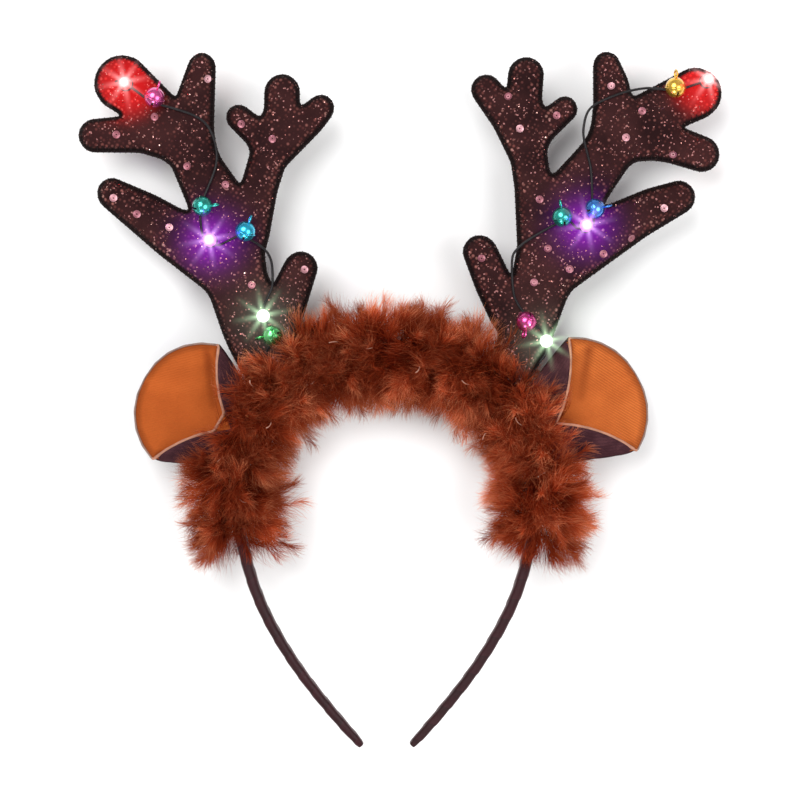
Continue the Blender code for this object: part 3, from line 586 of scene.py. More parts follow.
def makeAntler(side):
    node = f"antler_{side}"
    outline, middle = antlerOutline(node)
    mesh = withModifiers(
        meshOf(cadCopy(node, quads=False)),
        ("REMESH", {"mode": "VOXEL", "voxel_size": antler["voxel"], "use_smooth_shade": True}),
        ("SMOOTH", {"factor": 0.6, "iterations": 5}),
    )
    points = pointsOf(mesh)
    rim = rimDistance(points, outline)
    height = points[:, 2] - middle
    inner = np.clip(rim / antler["puffEdge"], 0.0, 1.0)
    inner = inner * inner * (3 - 2 * inner)
    edge = np.clip(rim / antler["pinchEdge"], 0.0, 1.0)
    scale = 1.0 - (1.0 - edge * edge * (3 - 2 * edge)) * antler["pinch"] / antler["halfThickness"]
    swell = np.sign(height) * inner * antler["puff"]
    # Puckers run in from the seam, and the seam's own middle stays still
    folds = softFolds(points, antlerFolds) + 0.6 * fineNoise(points, 0.003, 5.0) * (1.0 - inner)
    folds *= antler["wrinkle"] * np.clip(abs(height) / 0.003, 0, 1)
    points[:, 2] = middle + height * scale + swell + folds
    setPoints(mesh, points)
    setAttribute(mesh, "rim", rim)
    piece = newPiece(f"antler_{side}_padded", mesh, makeAntlerMaterial(side))
    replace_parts(piece, node)

    cord = tubes([outline], antler["cordRadius"], closed=True)
    newPiece(f"antler_{side}_binding", cord, blackThread)
    inward = unit(np.roll(outline, -1, 0) - np.roll(outline, 1, 0))
    inward = np.stack([-inward[:, 1], inward[:, 0], inward[:, 2] * 0], axis=1)
    if inward[np.argmax(outline[:, 1])][1] > 0:
        inward = -inward
    stitches = [
        np.array([start + way * inwards + np.array((0, 0, off * facing)) for inwards, off in stitchRows])
        for start, way in zip(outline[::2], inward[::2])
        for facing in (1.0, -1.0)
    ]
    thread = tubes(stitches, antler["threadRadius"], roundness=0)
    newPiece(f"antler_{side}_stitches", thread, blackThread)
    return mesh


antlerMeshes = {side: makeAntler(side) for side in sides}
print("antlers done")


# Sequins on the antlers' fronts, at the photo's places, and loose glitter all over

sequin = {"radius": 0.00155, "rim": 0.0007, "dish": 0.00022, "around": 0.00055, "lift": 0.00055, "lean": 0.25,
          "thickness": 0.0001, "sides": 12}
flake = {"count": 1100, "corners": 6, "smallest": 0.00012, "largest": 0.00030, "lift": 0.00012, "lean": 0.28}
sequinPlaces = {
    "left": [(454.8, 370.8), (476, 381), (497.8, 469.6), (418, 399.5), (396, 366), (368, 421), (444, 412),
             (406, 441), (462, 480), (370, 378), (432, 340), (490, 398), (440, 392), (384, 432)],
    "right": [(644, 374), (669, 365), (657.4, 422), (663, 455.4), (677.8, 469.4), (700.8, 459), (720, 448.4),
              (748, 391.6), (653.6, 478.4), (645.3, 500.7), (716, 380), (727, 362), (636, 352), (742, 428),
              (618, 462), (706, 345)],
}


def makeSequinMaterial():
    material, tree, shader = newMaterial("sequin_foil")
    shade = attribute(tree, "shade")
    setInputs(shader, {
        "Base Color": ramp(tree, shade, [(0.0, (0.22, 0.065, 0.085)), (0.6, (0.36, 0.13, 0.16)),
                                         (1.0, (0.62, 0.34, 0.37))]),
        "Metallic": 0.6,
        "Roughness": 0.42,
        "Coat Weight": 0.3,
        "Normal": bump(tree, noiseOf(tree, 1400.0), 0.00004, 0.5),
    })
    return material


def makeSequins():
    rng = random.Random(4)
    bm = bmesh.new()
    shade = bm.verts.layers.float.new("shade")
    for side, places in sequinPlaces.items():
        surface = BVHTree.FromPolygons(pointsOf(antlerMeshes[side]).tolist(),
                                       [list(face.vertices) for face in antlerMeshes[side].polygons])
        for across, down in places:
            hit = surface.ray_cast(inPhoto(across, down, 0.06), -front)
            if hit[0] is None:
                continue
            new = bmesh.ops.create_circle(bm, segments=sequin["sides"], radius=sequin["radius"],
                                          cap_ends=True)["verts"]
            face = new[0].link_faces[0]
            inner = bmesh.ops.inset_individual(bm, faces=[face], thickness=sequin["rim"],
                                               depth=-sequin["dish"])["faces"]
            hole = bmesh.ops.inset_individual(bm, faces=[face], thickness=sequin["around"],
                                              depth=0.0)["faces"]
            bmesh.ops.delete(bm, geom=[face], context="FACES_ONLY")
            whole = set(new)
            for ring in inner + hole:
                if ring.is_valid:
                    whole.update(ring.verts)
            lean = sequin["lean"]
            normal = (hit[1] + Vector((rng.uniform(-lean, lean), rng.uniform(-lean, lean), 0.0))).normalized()
            if normal.z < 0:
                normal = -normal
            turn = normal.to_track_quat("Z", "Y")
            tone = rng.random()
            for vert in whole:
                vert.co = hit[0] + turn @ vert.co + front * sequin["lift"]
                vert[shade] = tone
    bmesh.ops.solidify(bm, geom=bm.faces, thickness=sequin["thickness"])
    newPiece("sequins", meshOf(bm), makeSequinMaterial()).data.shade_flat()


makeSequins()


def makeGlitter():
    material, tree, shader = newMaterial("loose_glitter")
    shade = attribute(tree, "shade")
    setInputs(shader, {
        "Base Color": ramp(tree, shade, [(0.0, (0.16, 0.05, 0.045)), (0.7, (0.34, 0.14, 0.12)),
                                         (1.0, (0.75, 0.48, 0.42))]),
        "Metallic": 1.0,
        "Roughness": calc(tree, "MULTIPLY_ADD", noiseOf(tree, 500.0), 0.2, 0.15),
    })
    rng = np.random.default_rng(9)
    flakes, corners = flake["count"], flake["corners"]
    for side, mesh in antlerMeshes.items():
        points, normals = pointsOf(mesh), normalsOf(mesh)
        picked = rng.choice(len(points), flakes, replace=False)
        centre, normal = points[picked], normals[picked]
        normal = unit(normal + rng.normal(0.0, flake["lean"], normal.shape))
        first = unit(np.cross(normal, rng.normal(size=normal.shape)))
        second = np.cross(normal, first)
        size = rng.uniform(flake["smallest"], flake["largest"], flakes)[:, None]
        centre = centre + normals[picked] * flake["lift"]
        ring = [centre + size * (first * math.cos(turn) + second * math.sin(turn))
                for turn in np.linspace(0, 2 * math.pi, corners, endpoint=False)]
        verts = np.stack(ring, axis=1).reshape(-1, 3)
        faces = np.arange(flakes * corners).reshape(flakes, corners)
        sheet = bpy.data.meshes.new("glitter")
        sheet.from_pydata(verts.tolist(), [], faces.tolist())
        setAttribute(sheet, "shade", np.repeat(rng.random(flakes), corners))
        newPiece(f"antler_{side}_glitter", sheet, material).data.shade_flat()


makeGlitter()
print("sequins and glitter done")


# Ears: dark cloth cups lined with orange twill, piped round the mouth

ear = {
    "pipeRadius": 0.00062,
    "rimRadius": 0.00045,
    "ribs": 330.0,
    "ribTurn": {"left": -0.25, "right": 0.55},
    # How strongly each ear's ribs show, both as painted shade in their furrows and as relief
    "ribDepth": {"left": 0.12, "right": 0.42},
    # Each ear's twill tones: the left set is darker, a painted shade on the same orange cloth
    "shades": {
        "left": [(0.34, 0.070, 0.013), (0.44, 0.096, 0.018), (0.53, 0.130, 0.027)],
        "right": [(0.43, 0.100, 0.021), (0.56, 0.140, 0.030), (0.66, 0.185, 0.046)],
    },
    "mouthEdge": 0.0013,
    "mouthFromHoop": 0.0095,
    "mouthStep": 0.0008,
    "still": 0.004,
    "dent": 0.0009,
    "foldDepth": 0.0011,
    "foldWidth": 0.0019,
    "folds": {
        "left": [(431, 524, 435, 562)],
        "right": [(692, 524, 687, 556)],
    },
    "levels": {"shell": 2, "lining": 3},
    "cut": (0.062, 0.060),
    "areas": {"left": {"shell": 0.0025, "lining": 0.0023}, "right": {"shell": 0.0029, "lining": 0.0026}},
    "along": 0.0688,
}
# The cloth's dents: size, seed and weight
earDents = [(0.011, 12.0, 0.7), (0.005, 2.0, 0.3)]


def makeLiningMaterial(side):
    material, tree, shader = newMaterial(f"ear_twill_{side}", 0.08)
    turned = placed(tree, turn=(0.0, 0.0, ear["ribTurn"][side]))
    ribs = addNode(tree, "ShaderNodeTexWave", {"Vector": turned, "Scale": ear["ribs"],
                                               "Distortion": 0.5, "Detail": 1.0}, bands_direction="Y")
    # The ribs show more, in painted furrow shade and in relief, further from the hoop
    wearAndRibShade = ramp(tree, attribute(tree, "outer"), [(0.35, (0.12, 0.12, 0.12)), (0.7, (1, 1, 1))])
    ribShare = calc(tree, "MULTIPLY", wearAndRibShade, ear["ribDepth"][side])
    threads = addNode(tree, "ShaderNodeTexWave", {"Vector": turned, "Scale": 700.0, "Distortion": 0.8,
                                                  "Detail": 2.0}, bands_direction="X")
    fuzz = noiseOf(tree, 1600.0, 4.0)
    blotch = noiseOf(tree, 90.0, 3.0)
    shades = ear["shades"][side]
    tone = calc(tree, "MULTIPLY_ADD", blotch, 0.45, calc(tree, "MULTIPLY", fuzz, 0.30))
    color = ramp(tree, tone, list(zip((0.15, 0.42, 0.75), shades)))
    # Painted shade in the ribs' furrows
    furrow = calc(tree, "POWER", calc(tree, "SUBTRACT", 1.0, ribs.outputs["Fac"]), 1.6)
    color = mixed(tree, calc(tree, "MULTIPLY", furrow, ribShare), color, (0.20, 0.038, 0.008))
    # Painted shadow: the twill darkens within a few millimetres of the mouth's edge
    rim = attribute(tree, "rim")
    rimShadow = ramp(tree, calc(tree, "MULTIPLY", rim, 1.0 / 0.008),
                  [(0.05, (0.42, 0.36, 0.36)), (0.38, (1, 1, 1))])
    color = mixed(tree, 1.0, color, rimShadow, "MULTIPLY")
    # Painted shade in the folds, darker where a fold is deeper
    crease = ramp(tree, attribute(tree, "fold"), [(0.05, (1, 1, 1)), (1.0, (0.60, 0.52, 0.50))])
    cloth = calc(tree, "MULTIPLY", ribs.outputs["Fac"], calc(tree, "ADD", ribShare, 0.25))
    cloth = calc(tree, "MULTIPLY_ADD", threads.outputs["Fac"], 0.2, cloth)
    setInputs(shader, {
        "Base Color": mixed(tree, 1.0, color, crease, "MULTIPLY"),
        "Roughness": 0.85,
        "Sheen Weight": 0.15,
        "Sheen Roughness": 0.45,
        "Sheen Tint": (1.0, 0.45, 0.18, 1.0),
        "Normal": bump(tree, cloth, 0.0003, 0.7),
    })
    return material


def makeShellMaterial():
    material, tree, shader = newMaterial("ear_dark_cloth", 0.08)
    weave = addNode(tree, "ShaderNodeTexVoronoi", {"Vector": placed(tree, turn=(0, 0, 0.6)), "Scale": 1500.0,
                                                   "Randomness": 0.35}).outputs["Distance"]
    # Darker in the weave's hollows, a painted shade, over a random tone
    tone = calc(tree, "MULTIPLY_ADD", noiseOf(tree, 260.0, 5.0), 0.7, calc(tree, "MULTIPLY", weave, 0.5))
    setInputs(shader, {
        "Base Color": ramp(tree, tone, [(0.25, (0.022, 0.007, 0.010)), (0.6, (0.046, 0.015, 0.020)),
                                        (0.9, (0.095, 0.036, 0.042))]),
        "Roughness": 0.8,
        "Normal": bump(tree, weave, 0.00015, 0.8),
    })
    return material


shellMaterial = makeShellMaterial()
pipingMaterial = makeThreadMaterial("ear_piping", (0.62, 0.30, 0.20), 0.7)
rimMaterial = makeThreadMaterial("ear_rim_binding", (0.36, 0.24, 0.20), 0.8)


def mouthPoints(node):
    points = []
    bm = cadCopy(node, quads=False)
    for edge in bm.edges:
        middle = (edge.verts[0].co + edge.verts[1].co) / 2
        away = np.linalg.norm(hoopLine - np.array(middle), axis=1).min()
        if edge.calc_length() < ear["mouthEdge"] and away > ear["mouthFromHoop"]:
            points.append(middle)
    bm.free()
    return points


def foldAt(points, side):
    depth = np.zeros(len(points))
    for across, down, endAcross, endDown in ear["folds"][side]:
        start, end = (np.array(inPhoto(*spot)) for spot in ((across, down), (endAcross, endDown)))
        run = (end - start)[:2]
        share = np.clip(((points - start)[:, :2] @ run) / (run @ run), 0.0, 1.0)
        away = np.linalg.norm((points - start)[:, :2] - share[:, None] * run, axis=1)
        depth = np.maximum(depth, np.exp(-((away / ear["foldWidth"]) ** 2)) * (1.0 - 0.5 * share))
    return depth


def makeEar(side):
    linings, shells = (mouthPoints(f"ear_{side}_{part}") for part in ("lining", "shell"))
    mouth = [(point + min(shells, key=lambda other: (other - point).length)) / 2 for point in linings]
    middle = sum(mouth, Vector()) / len(mouth)
    mouth.sort(key=lambda point: math.atan2(point.y - middle.y, point.x - middle.x))
    print("ear mouth points", side, len(linings), len(shells))
    rimLine = evenLoop(mouth, ear["mouthStep"], 1)
    tree = treeOf(rimLine)
    for part, material, slot in (("shell", shellMaterial, "ear_back"),
                                 ("lining", makeLiningMaterial(side), "ear_lining")):
        node = f"ear_{side}_{part}"
        bm = cadCopy(node)
        crease = bm.edges.layers.float.new("crease_edge")
        for edge in bm.edges:
            if edge.is_manifold and edge.calc_face_angle() > 0.9:
                edge[crease] = 0.75
        mesh = withModifiers(meshOf(bm), subdivision(ear["levels"][part]))
        points = pointsOf(mesh)
        away = np.array([tree.find(point)[2] for point in points])
        dents = softFolds(points, earDents)
        fold = foldAt(points, side)
        inner = np.clip(away / ear["still"], 0, 1)
        points[:, 2] += (dents * ear["dent"] - fold * ear["foldDepth"]) * inner
        setPoints(mesh, points)
        setAttribute(mesh, "rim", away)
        # The fold's depth, which the lining's material turns into painted shade
        setAttribute(mesh, "fold", fold * inner)
        setAttribute(mesh, "outer", np.clip((fromHoop(points) - 0.012) / 0.034, 0, 1))
        piece = newPiece(f"ear_{side}_{part}_cloth", mesh, material)
        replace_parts(piece, node)
    # The mouth's edge nearer the hoop carries the piping, and the other a thin binding
    way = onHoop(np.array([ear["along"] * sides[side]]))[1][0]
    corners = sorted(range(len(rimLine)), key=lambda index: -abs((rimLine[index] - rimLine.mean(0)) @ way))
    first = corners[0]
    second = next(index for index in corners
                  if np.linalg.norm(rimLine[index] - rimLine[first]) > 0.03)
    first, second = sorted((first, second))
    runs = [rimLine[first:second + 1], np.vstack([rimLine[second:], rimLine[:first + 1]])]
    runs.sort(key=lambda run: fromHoop(run).min())
    newPiece(f"ear_{side}_piping", tubes([runs[0]], ear["pipeRadius"]), pipingMaterial)
    newPiece(f"ear_{side}_rim", tubes([runs[1]], ear["rimRadius"]), rimMaterial)
    return rimLine


earRims = {side: makeEar(side) for side in sides}
print("ears done")


# Light wires

def makeWireMaterial():
    material, tree, shader = newMaterial("wire_plastic", 0.2)
    tone = noiseOf(tree, 400.0, 3.0)
    setInputs(shader, {
        "Base Color": ramp(tree, tone, [(0.3, (0.006, 0.005, 0.006)), (0.8, (0.020, 0.017, 0.018))]),
        "Roughness": calc(tree, "MULTIPLY_ADD", tone, 0.3, 0.25),
        "Normal": bump(tree, noiseOf(tree, 900.0), 0.00005, 0.4),
    })
    return material


wireMaterial = makeWireMaterial()
for side in sides:
    mesh = withModifiers(meshOf(cadCopy(f"wire_{side}")), subdivision(2))
    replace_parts(newPiece(f"wire_{side}_smooth", mesh, wireMaterial), f"wire_{side}")
print("wires done")


# Lit bulbs

bulb = {"segments": 28, "radius": 0.0025, "base": 0.0026, "core": 0.08, "coreEdge": 0.22,
        "coreStrength": 100.0, "skinStrength": 1.3}
# The collar's section: radius and height
collarRows = [(0.0022, 0.0), (0.0029, 0.0), (0.0029, 0.0020), (0.0027, 0.0025), (0.0022, 0.0026),
              (0.0022, 0.0)]
bulbCores = {"red": (1.0, 0.36, 0.34), "purple": (0.76, 0.40, 1.0), "white": (1.0, 1.0, 1.0)}
bulbTints = {"red": (1.0, 0.02, 0.015), "purple": (0.62, 0.05, 1.0), "white": (0.96, 1.0, 0.95)}


def makeBulbMaterial(color):
    material, tree, shader = newMaterial(f"lit_bulb_{color}")
    tint = bulbTints[color]
    swirl = noiseOf(tree, 500.0, 2.0)
    middle = ramp(tree, attribute(tree, "reach"),
                  [(bulb["core"], (1, 1, 1)), (bulb["core"] + bulb["coreEdge"], (0, 0, 0))])
    setInputs(shader, {
        "Base Color": ramp(tree, swirl, [(0.3, tuple(value * 0.8 for value in tint)), (0.7, tint)]),
        "Emission Color": mixed(tree, middle, tint, bulbCores[color]),
        "Emission Strength": calc(tree, "MULTIPLY_ADD", middle, bulb["coreStrength"], bulb["skinStrength"]),
        "Roughness": 0.12,
        "Coat Weight": 0.6,
    })
    return material


def makePlainMaterial(name, grain, dark, light, metallic, rough):
    material, tree, shader = newMaterial(name)
    setInputs(shader, {
        "Base Color": ramp(tree, noiseOf(tree, grain, 3.0), [(0.3, dark), (0.8, light)]),
        "Metallic": metallic,
        "Roughness": rough,
    })
    return material


collarMaterial = makePlainMaterial("bulb_collar", 700.0, (0.012, 0.011, 0.012), (0.045, 0.042, 0.045),
                                   0.0, 0.35)
bulbMaterials = {color: makeBulbMaterial(color) for color in bulbTints}


def makeBulb(glow):
    low, high = glow["low"], glow["high"]
    radius, base = bulb["radius"], bulb["base"]
    shoulder = high.z - low.z - radius
    profile = [(0.0, base), (radius * 0.96, base), (radius, base + 0.0004), (radius, shoulder)]
    profile += [(radius * math.cos(turn), shoulder + radius * math.sin(turn))
                for turn in (math.radians(step) for step in (12, 24, 36, 48, 60, 72, 82))]
    profile.append((0.0, shoulder + radius))
    bm = spun(profile, bulb["segments"])
    bmesh.ops.subdivide_edges(bm, edges=bm.edges, cuts=1, use_grid_fill=True)
    reach = bm.verts.layers.float.new("reach")
    for vert in bm.verts:
        vert[reach] = vert.co.xy.length / radius
    bmesh.ops.translate(bm, vec=(glow["middle"].x, glow["middle"].y, low.z), verts=bm.verts)
    dome = newPiece(glow["node"] + "_dome", meshOf(bm), bulbMaterials[glow["color"]])
    bm = spun(collarRows, bulb["segments"])
    bmesh.ops.translate(bm, vec=(glow["middle"].x, glow["middle"].y, low.z), verts=bm.verts)
    newPiece(glow["node"] + "_collar", meshOf(bm), collarMaterial)
    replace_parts(dome, glow["node"])


for glow in glows:
    makeBulb(glow)
print("bulbs done")


# Jingle bells

bell = {"radius": 0.004, "wall": 0.0005, "slot": 0.0008, "slotTop": -0.0012, "ringRadius": 0.0015,
        "ringWire": 0.0004, "ringSunk": 0.00024, "seamIn": 0.0001, "seamOut": 0.00022, "clapper": 0.00168}
bellColors = {
    "green": (0.07, 0.42, 0.12),
    "cyan": (0.02, 0.52, 0.78),
    "teal": (0.02, 0.44, 0.36),
    "pink": (0.80, 0.10, 0.36),
    "magenta": (0.66, 0.05, 0.26),
    "blue": (0.05, 0.27, 0.80),
    "gold": (0.88, 0.52, 0.06),
}


def makeBellMaterial(color):
    material, tree, shader = newMaterial(f"bell_{color}")
    paint = bellColors[color]
    wearAndRibShade = noiseOf(tree, 420.0, 5.0)
    dark = tuple(value * 0.6 for value in paint)
    light = tuple(min(1.0, value * 1.3 + 0.05) for value in paint)
    setInputs(shader, {
        "Base Color": ramp(tree, wearAndRibShade, [(0.30, dark), (0.55, paint), (0.80, light)]),
        "Metallic": 0.85,
        "Roughness": calc(tree, "MULTIPLY_ADD", wearAndRibShade, 0.22, 0.12),
        "Coat Weight": 0.8,
        "Coat Roughness": 0.06,
        "Normal": bump(tree, noiseOf(tree, 1500.0), 0.00003, 0.4),
    })
    return material


darkMetal = makePlainMaterial("bell_inside", 600.0, (0.05, 0.04, 0.035), (0.16, 0.13, 0.11), 0.8, 0.4)


def bellPlace(node):
    points = pointsOf(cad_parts[node].data)
    centre = points.mean(0)
    for _ in range(15):
        reach = np.linalg.norm(points - centre, axis=1)
        ball = points[reach < bell["radius"] * 1.05]
        centre = (ball.min(0) + ball.max(0)) / 2 * 0.5 + ball.mean(0) * 0.5
    ring = points[np.linalg.norm(points - centre, axis=1) > bell["radius"] * 1.12]
    toRing = unit(ring.mean(0) - centre)
    through = np.linalg.svd(ring - ring.mean(0))[2][2]
    through = unit(through - toRing * (through @ toRing))
    return Vector(centre), Vector(toRing), Vector(through)


def makeBell(node):
    color = node.split("_")[2]
    centre, toRing, through = bellPlace(node)
    radius = bell["radius"]
    bm = bmesh.new()
    bmesh.ops.create_uvsphere(bm, u_segments=36, v_segments=24, radius=radius)
    slotHalf = bell["slot"] / 2
    for offset, way in ((slotHalf, (0, 1, 0)), (-slotHalf, (0, 1, 0)), (bell["slotTop"], (0, 0, 1))):
        bmesh.ops.bisect_plane(bm, geom=bm.verts[:] + bm.edges[:] + bm.faces[:], dist=0.000001,
                               plane_co=Vector(way) * offset, plane_no=way)
    gone = [face for face in bm.faces if abs(face.calc_center_median().y) < slotHalf
            and face.calc_center_median().z < bell["slotTop"]]
    bmesh.ops.delete(bm, geom=gone, context="FACES")
    bmesh.ops.solidify(bm, geom=bm.faces, thickness=bell["wall"])
    bmesh.ops.recalc_face_normals(bm, faces=bm.faces)
    # The pressed seam round its middle
    inside, outside = radius - bell["seamIn"], radius + bell["seamOut"]
    seam = spun([(inside, -0.00025), (outside, -0.0002), (outside, 0.0002), (inside, 0.00025),
                 (inside, -0.00025)], 40)
    small = [(bell["ringRadius"] + bell["ringWire"] * math.cos(turn), bell["ringWire"] * math.sin(turn))
             for turn in np.linspace(0, 2 * math.pi, 9)]
    loop = spun(small, 24)
    upright = Vector((0, 1, 0)).to_track_quat("Z", "Y").to_matrix()
    bmesh.ops.rotate(loop, cent=(0, 0, 0), matrix=upright, verts=loop.verts)
    bmesh.ops.translate(loop, vec=(0, 0, radius + bell["ringRadius"] - bell["ringSunk"]), verts=loop.verts)
    for extra in (seam, loop):
        bm.from_mesh(meshOf(extra))
    axes = np.array([through.cross(toRing), through, toRing]).T
    mesh = meshOf(bm)
    setPoints(mesh, pointsOf(mesh) @ axes.T + np.array(centre))
    piece = newPiece(node + "_ball", mesh, bellMaterials[color])
    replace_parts(piece, node)
    bm = bmesh.new()
    bmesh.ops.create_icosphere(bm, subdivisions=3, radius=bell["clapper"])
    bmesh.ops.translate(bm, vec=centre - toRing * radius * 0.4, verts=bm.verts)
    newPiece(node + "_clapper", meshOf(bm), darkMetal)


bellMaterials = {color: makeBellMaterial(color) for color in bellColors}
for name in sorted(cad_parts):
    if name.startswith("bell_"):
        makeBell(name)
print("bells done")


# Fur: tufts of fine barbs round the hoop

fur = {
    "reach": 0.109,
    "radius": 0.0232,
    "root": 0.0042,
    "endFrom": 0.086,
    "endRun": 0.022,
    "endFlow": 0.095,
    "lockPitch": 0.013,
    "lightFrom": 0.06,
    "deepest": 0.004,
    "floor": 0.0004,
    "tufts": 1150,
    "barbs": 118,
    "width": 0.00018,
    "meshes": 5,
    "overEar": {"left": 0.0032, "right": 0.0025},
    "coreRadius": 0.0060,
    "coreReach": 0.105,
}


# Bare quills that catch the light: the photo's place of each, its turn, length and height
quillPlaces = [
    (462, 545, -60, 0.0045, 0.036),
    (473, 577, 50, 0.0050, 0.037),
    (540, 524, 10, 0.0042, 0.039),
    (515, 520, 5, 0.0060, 0.037),
    (500, 548, 25, 0.0055, 0.036),
    (573, 540, 60, 0.0050, 0.038),
    (604, 545, -30, 0.0060, 0.037),
    (618, 585, 65, 0.0050, 0.037),
    (640, 570, -50, 0.0065, 0.037),
    (655, 610, 30, 0.0060, 0.036),
    (440, 600, 35, 0.0055, 0.036),
    (455, 625, -20, 0.0050, 0.035),
    (668, 640, -75, 0.0055, 0.035),
]


def makeFurMaterial():
    material, tree, shader = newMaterial("feather_barbs", 0.035)
    # Painted shade deep in the fur: the barbs darken towards the hoop and lighten out to their tips
    depth = ramp(tree, attribute(tree, "tip"), [(0.0, (0.075, 0.005, 0.002)), (0.35, (0.23, 0.020, 0.005)),
                                                (0.70, (0.50, 0.076, 0.022)), (1.0, (0.84, 0.30, 0.14))])
    # Painted light and shade per tuft: a shaded and a lit copy of the same colour, mixed by the tone
    # attribute
    dark = mixed(tree, 1.0, depth, (0.46, 0.36, 0.34), "MULTIPLY")
    light = mixed(tree, 1.0, depth, (1.35, 1.50, 1.60), "MULTIPLY")
    color = mixed(tree, attribute(tree, "tone"), dark, light)
    setInputs(shader, {"Base Color": color, "Roughness": 0.6})
    through = addNode(tree, "ShaderNodeBsdfTranslucent", {"Color": color})
    both = addNode(tree, "ShaderNodeMixShader",
                   {"Fac": 0.38, 1: shader.outputs["BSDF"], 2: through.outputs["BSDF"]})
    setInputs(tree.nodes["Material Output"], {"Surface": both.outputs["Shader"]})
    return material


def furSolids():
    verts, faces = [], []
    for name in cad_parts:
        if name.startswith(("antler_", "ear_")):
            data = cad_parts[name].data
            start = len(verts)
            verts += pointsOf(data).tolist()
            faces += [[start + index for index in face.vertices] for face in data.polygons]
    return BVHTree.FromPolygons(verts, faces)


def makeFur():
    rng = np.random.default_rng(21)
    tufts, barbs = fur["tufts"], fur["barbs"]
    order = np.arange(tufts)
    along = ((order + rng.random(tufts)) / tufts * 2 - 1) * fur["reach"]
    angle = (order * 2.39996 + rng.normal(0, 0.35, tufts)) % (2 * math.pi)
    place, way, outward = onHoop(along)
    up = np.broadcast_to(np.array((0.0, 0.0, 1.0)), place.shape)
    radial = outward * np.cos(angle)[:, None] + up * np.sin(angle)[:, None]
    around = np.cross(way, radial)
    root = place + radial * fur["root"]
    ending = np.clip((abs(along) - fur["endFrom"]) / fur["endRun"], 0.0, 1.0) * np.sign(along)
    ground = np.stack([along / fur["lockPitch"], np.cos(angle), np.sin(angle)], axis=1)
    locks = [np.array([noise.noise(Vector(point) * 1.2 + Vector((seed, 0.0, 0.0))) for point in ground])
             for seed in (3.0, 40.0, 90.0)]
    facing = np.clip(np.sin(angle), 0.0, 1.0)
    flow = np.where(locks[0] + rng.normal(0.0, 0.25, tufts) > 0, 1.0, -1.0)
    flow = np.where(abs(along) > fur["endFlow"], np.sign(along), flow)
    lean = rng.normal(0.0, 0.42, tufts) + ending * rng.uniform(-0.2, 0.9, tufts)
    lean += locks[0] * 1.7 + flow * facing**2 * rng.uniform(0.3, 1.2, tufts)
    swirl = rng.normal(0.0, 0.45, tufts) + locks[1] * (1.5 - 0.3 * facing)
    quill = unit(radial + way * lean[:, None] + around * swirl[:, None])
    length = (fur["radius"] - fur["root"]) * rng.uniform(0.80, 1.13, tufts)
    # Each tuft's share of the painted lit copy: random, in clumps, and more towards the right end
    tuftToneAndLight = rng.normal(0.36, 0.23, tufts) + 0.9 * locks[2] + 0.22 * (along > fur["lightFrom"])
    tuftToneAndLight = np.clip(tuftToneAndLight, 0.0, 1.0)
    curl = unit(rng.normal(size=(tufts, 3))) * rng.uniform(0.3, 1.1, tufts)[:, None]
    drift = unit(rng.normal(size=(tufts, 3)))

    pick = np.repeat(np.arange(tufts), barbs)
    count = len(pick)
    share = rng.random(count) ** 0.7 * 0.80
    quillAt = unit(quill[pick] + curl[pick] * share[:, None])
    start = root[pick] + (quill[pick] + curl[pick] * share[:, None] * 0.5) * (length[pick] * share)[:, None]
    start += rng.normal(0.0, 0.0004, (count, 3))
    plane = unit(np.cross(quill[pick], curl[pick] + rng.normal(0, 0.35, (count, 3))))
    side = np.where(rng.random(count) < 0.5, -1.0, 1.0)
    open_ = rng.uniform(0.2, 1.0, count) ** 1.3
    heading = unit(quillAt + plane * (side * open_)[:, None] + rng.normal(0, 0.16, (count, 3)))
    barbLength = length[pick] * (1.0 - share) * rng.uniform(0.75, 1.12, count) + 0.002
    bend = unit(drift[pick] + rng.normal(0.0, 0.55, (count, 3)))
    points = [start]
    for step in range(3):
        turned = unit(heading * (1.0 - 0.22 * step) + quillAt * (0.20 * step) + bend * (0.30 * step))
        points.append(points[-1] + turned * (barbLength / 3)[:, None])
    points = np.stack(points, axis=1)
    points[:, :, 2] = np.maximum(points[:, :, 2], fur["floor"])

    # A barb is left out where an antler or an ear is in its way, from its tuft's root to its tip
    solids = furSolids()
    kept = np.ones(count, bool)
    for index in range(count):
        stops = [root[pick[index]], points[index, 0], points[index, 3]]
        for first, last in zip(stops, stops[1:]):
            first, run = Vector(first), Vector(last - first)
            if solids.ray_cast(first, run, run.length)[0] is not None:
                kept[index] = False
                break
    # The ears' linings stay clear, but for a few barbs over their inner corners
    for side, rim in earRims.items():
        for step in (2, 3):
            inside = insideLoop(points[:, step], rim)
            near = np.linalg.norm(points[:, step, None, :2] - rim[None, :, :2], axis=2).min(1)
            kept &= ~(inside & (near > fur["overEar"][side]))
    points, pick = points[kept], pick[kept]
    count = len(pick)
    print("barbs kept", count)

    tone = np.clip(tuftToneAndLight[pick] + rng.normal(0, 0.14, count), 0.0, 1.0)
    flat = unit(np.cross(points[:, 3] - points[:, 0], rng.normal(size=(count, 3))))
    widths = fur["width"] * rng.uniform(0.6, 1.2, count)
    verts = np.empty((count, 7, 3))
    tipAndDepthShade = np.empty((count, 7))
    axis = hoopLine[nearestOnHoop(points[:, 0], 6, 200)]
    for step, share in enumerate((1.0, 0.85, 0.5)):
        half = flat * (widths * share / 2)[:, None]
        verts[:, step * 2] = points[:, step] - half
        verts[:, step * 2 + 1] = points[:, step] + half
    verts[:, 6] = points[:, 3]
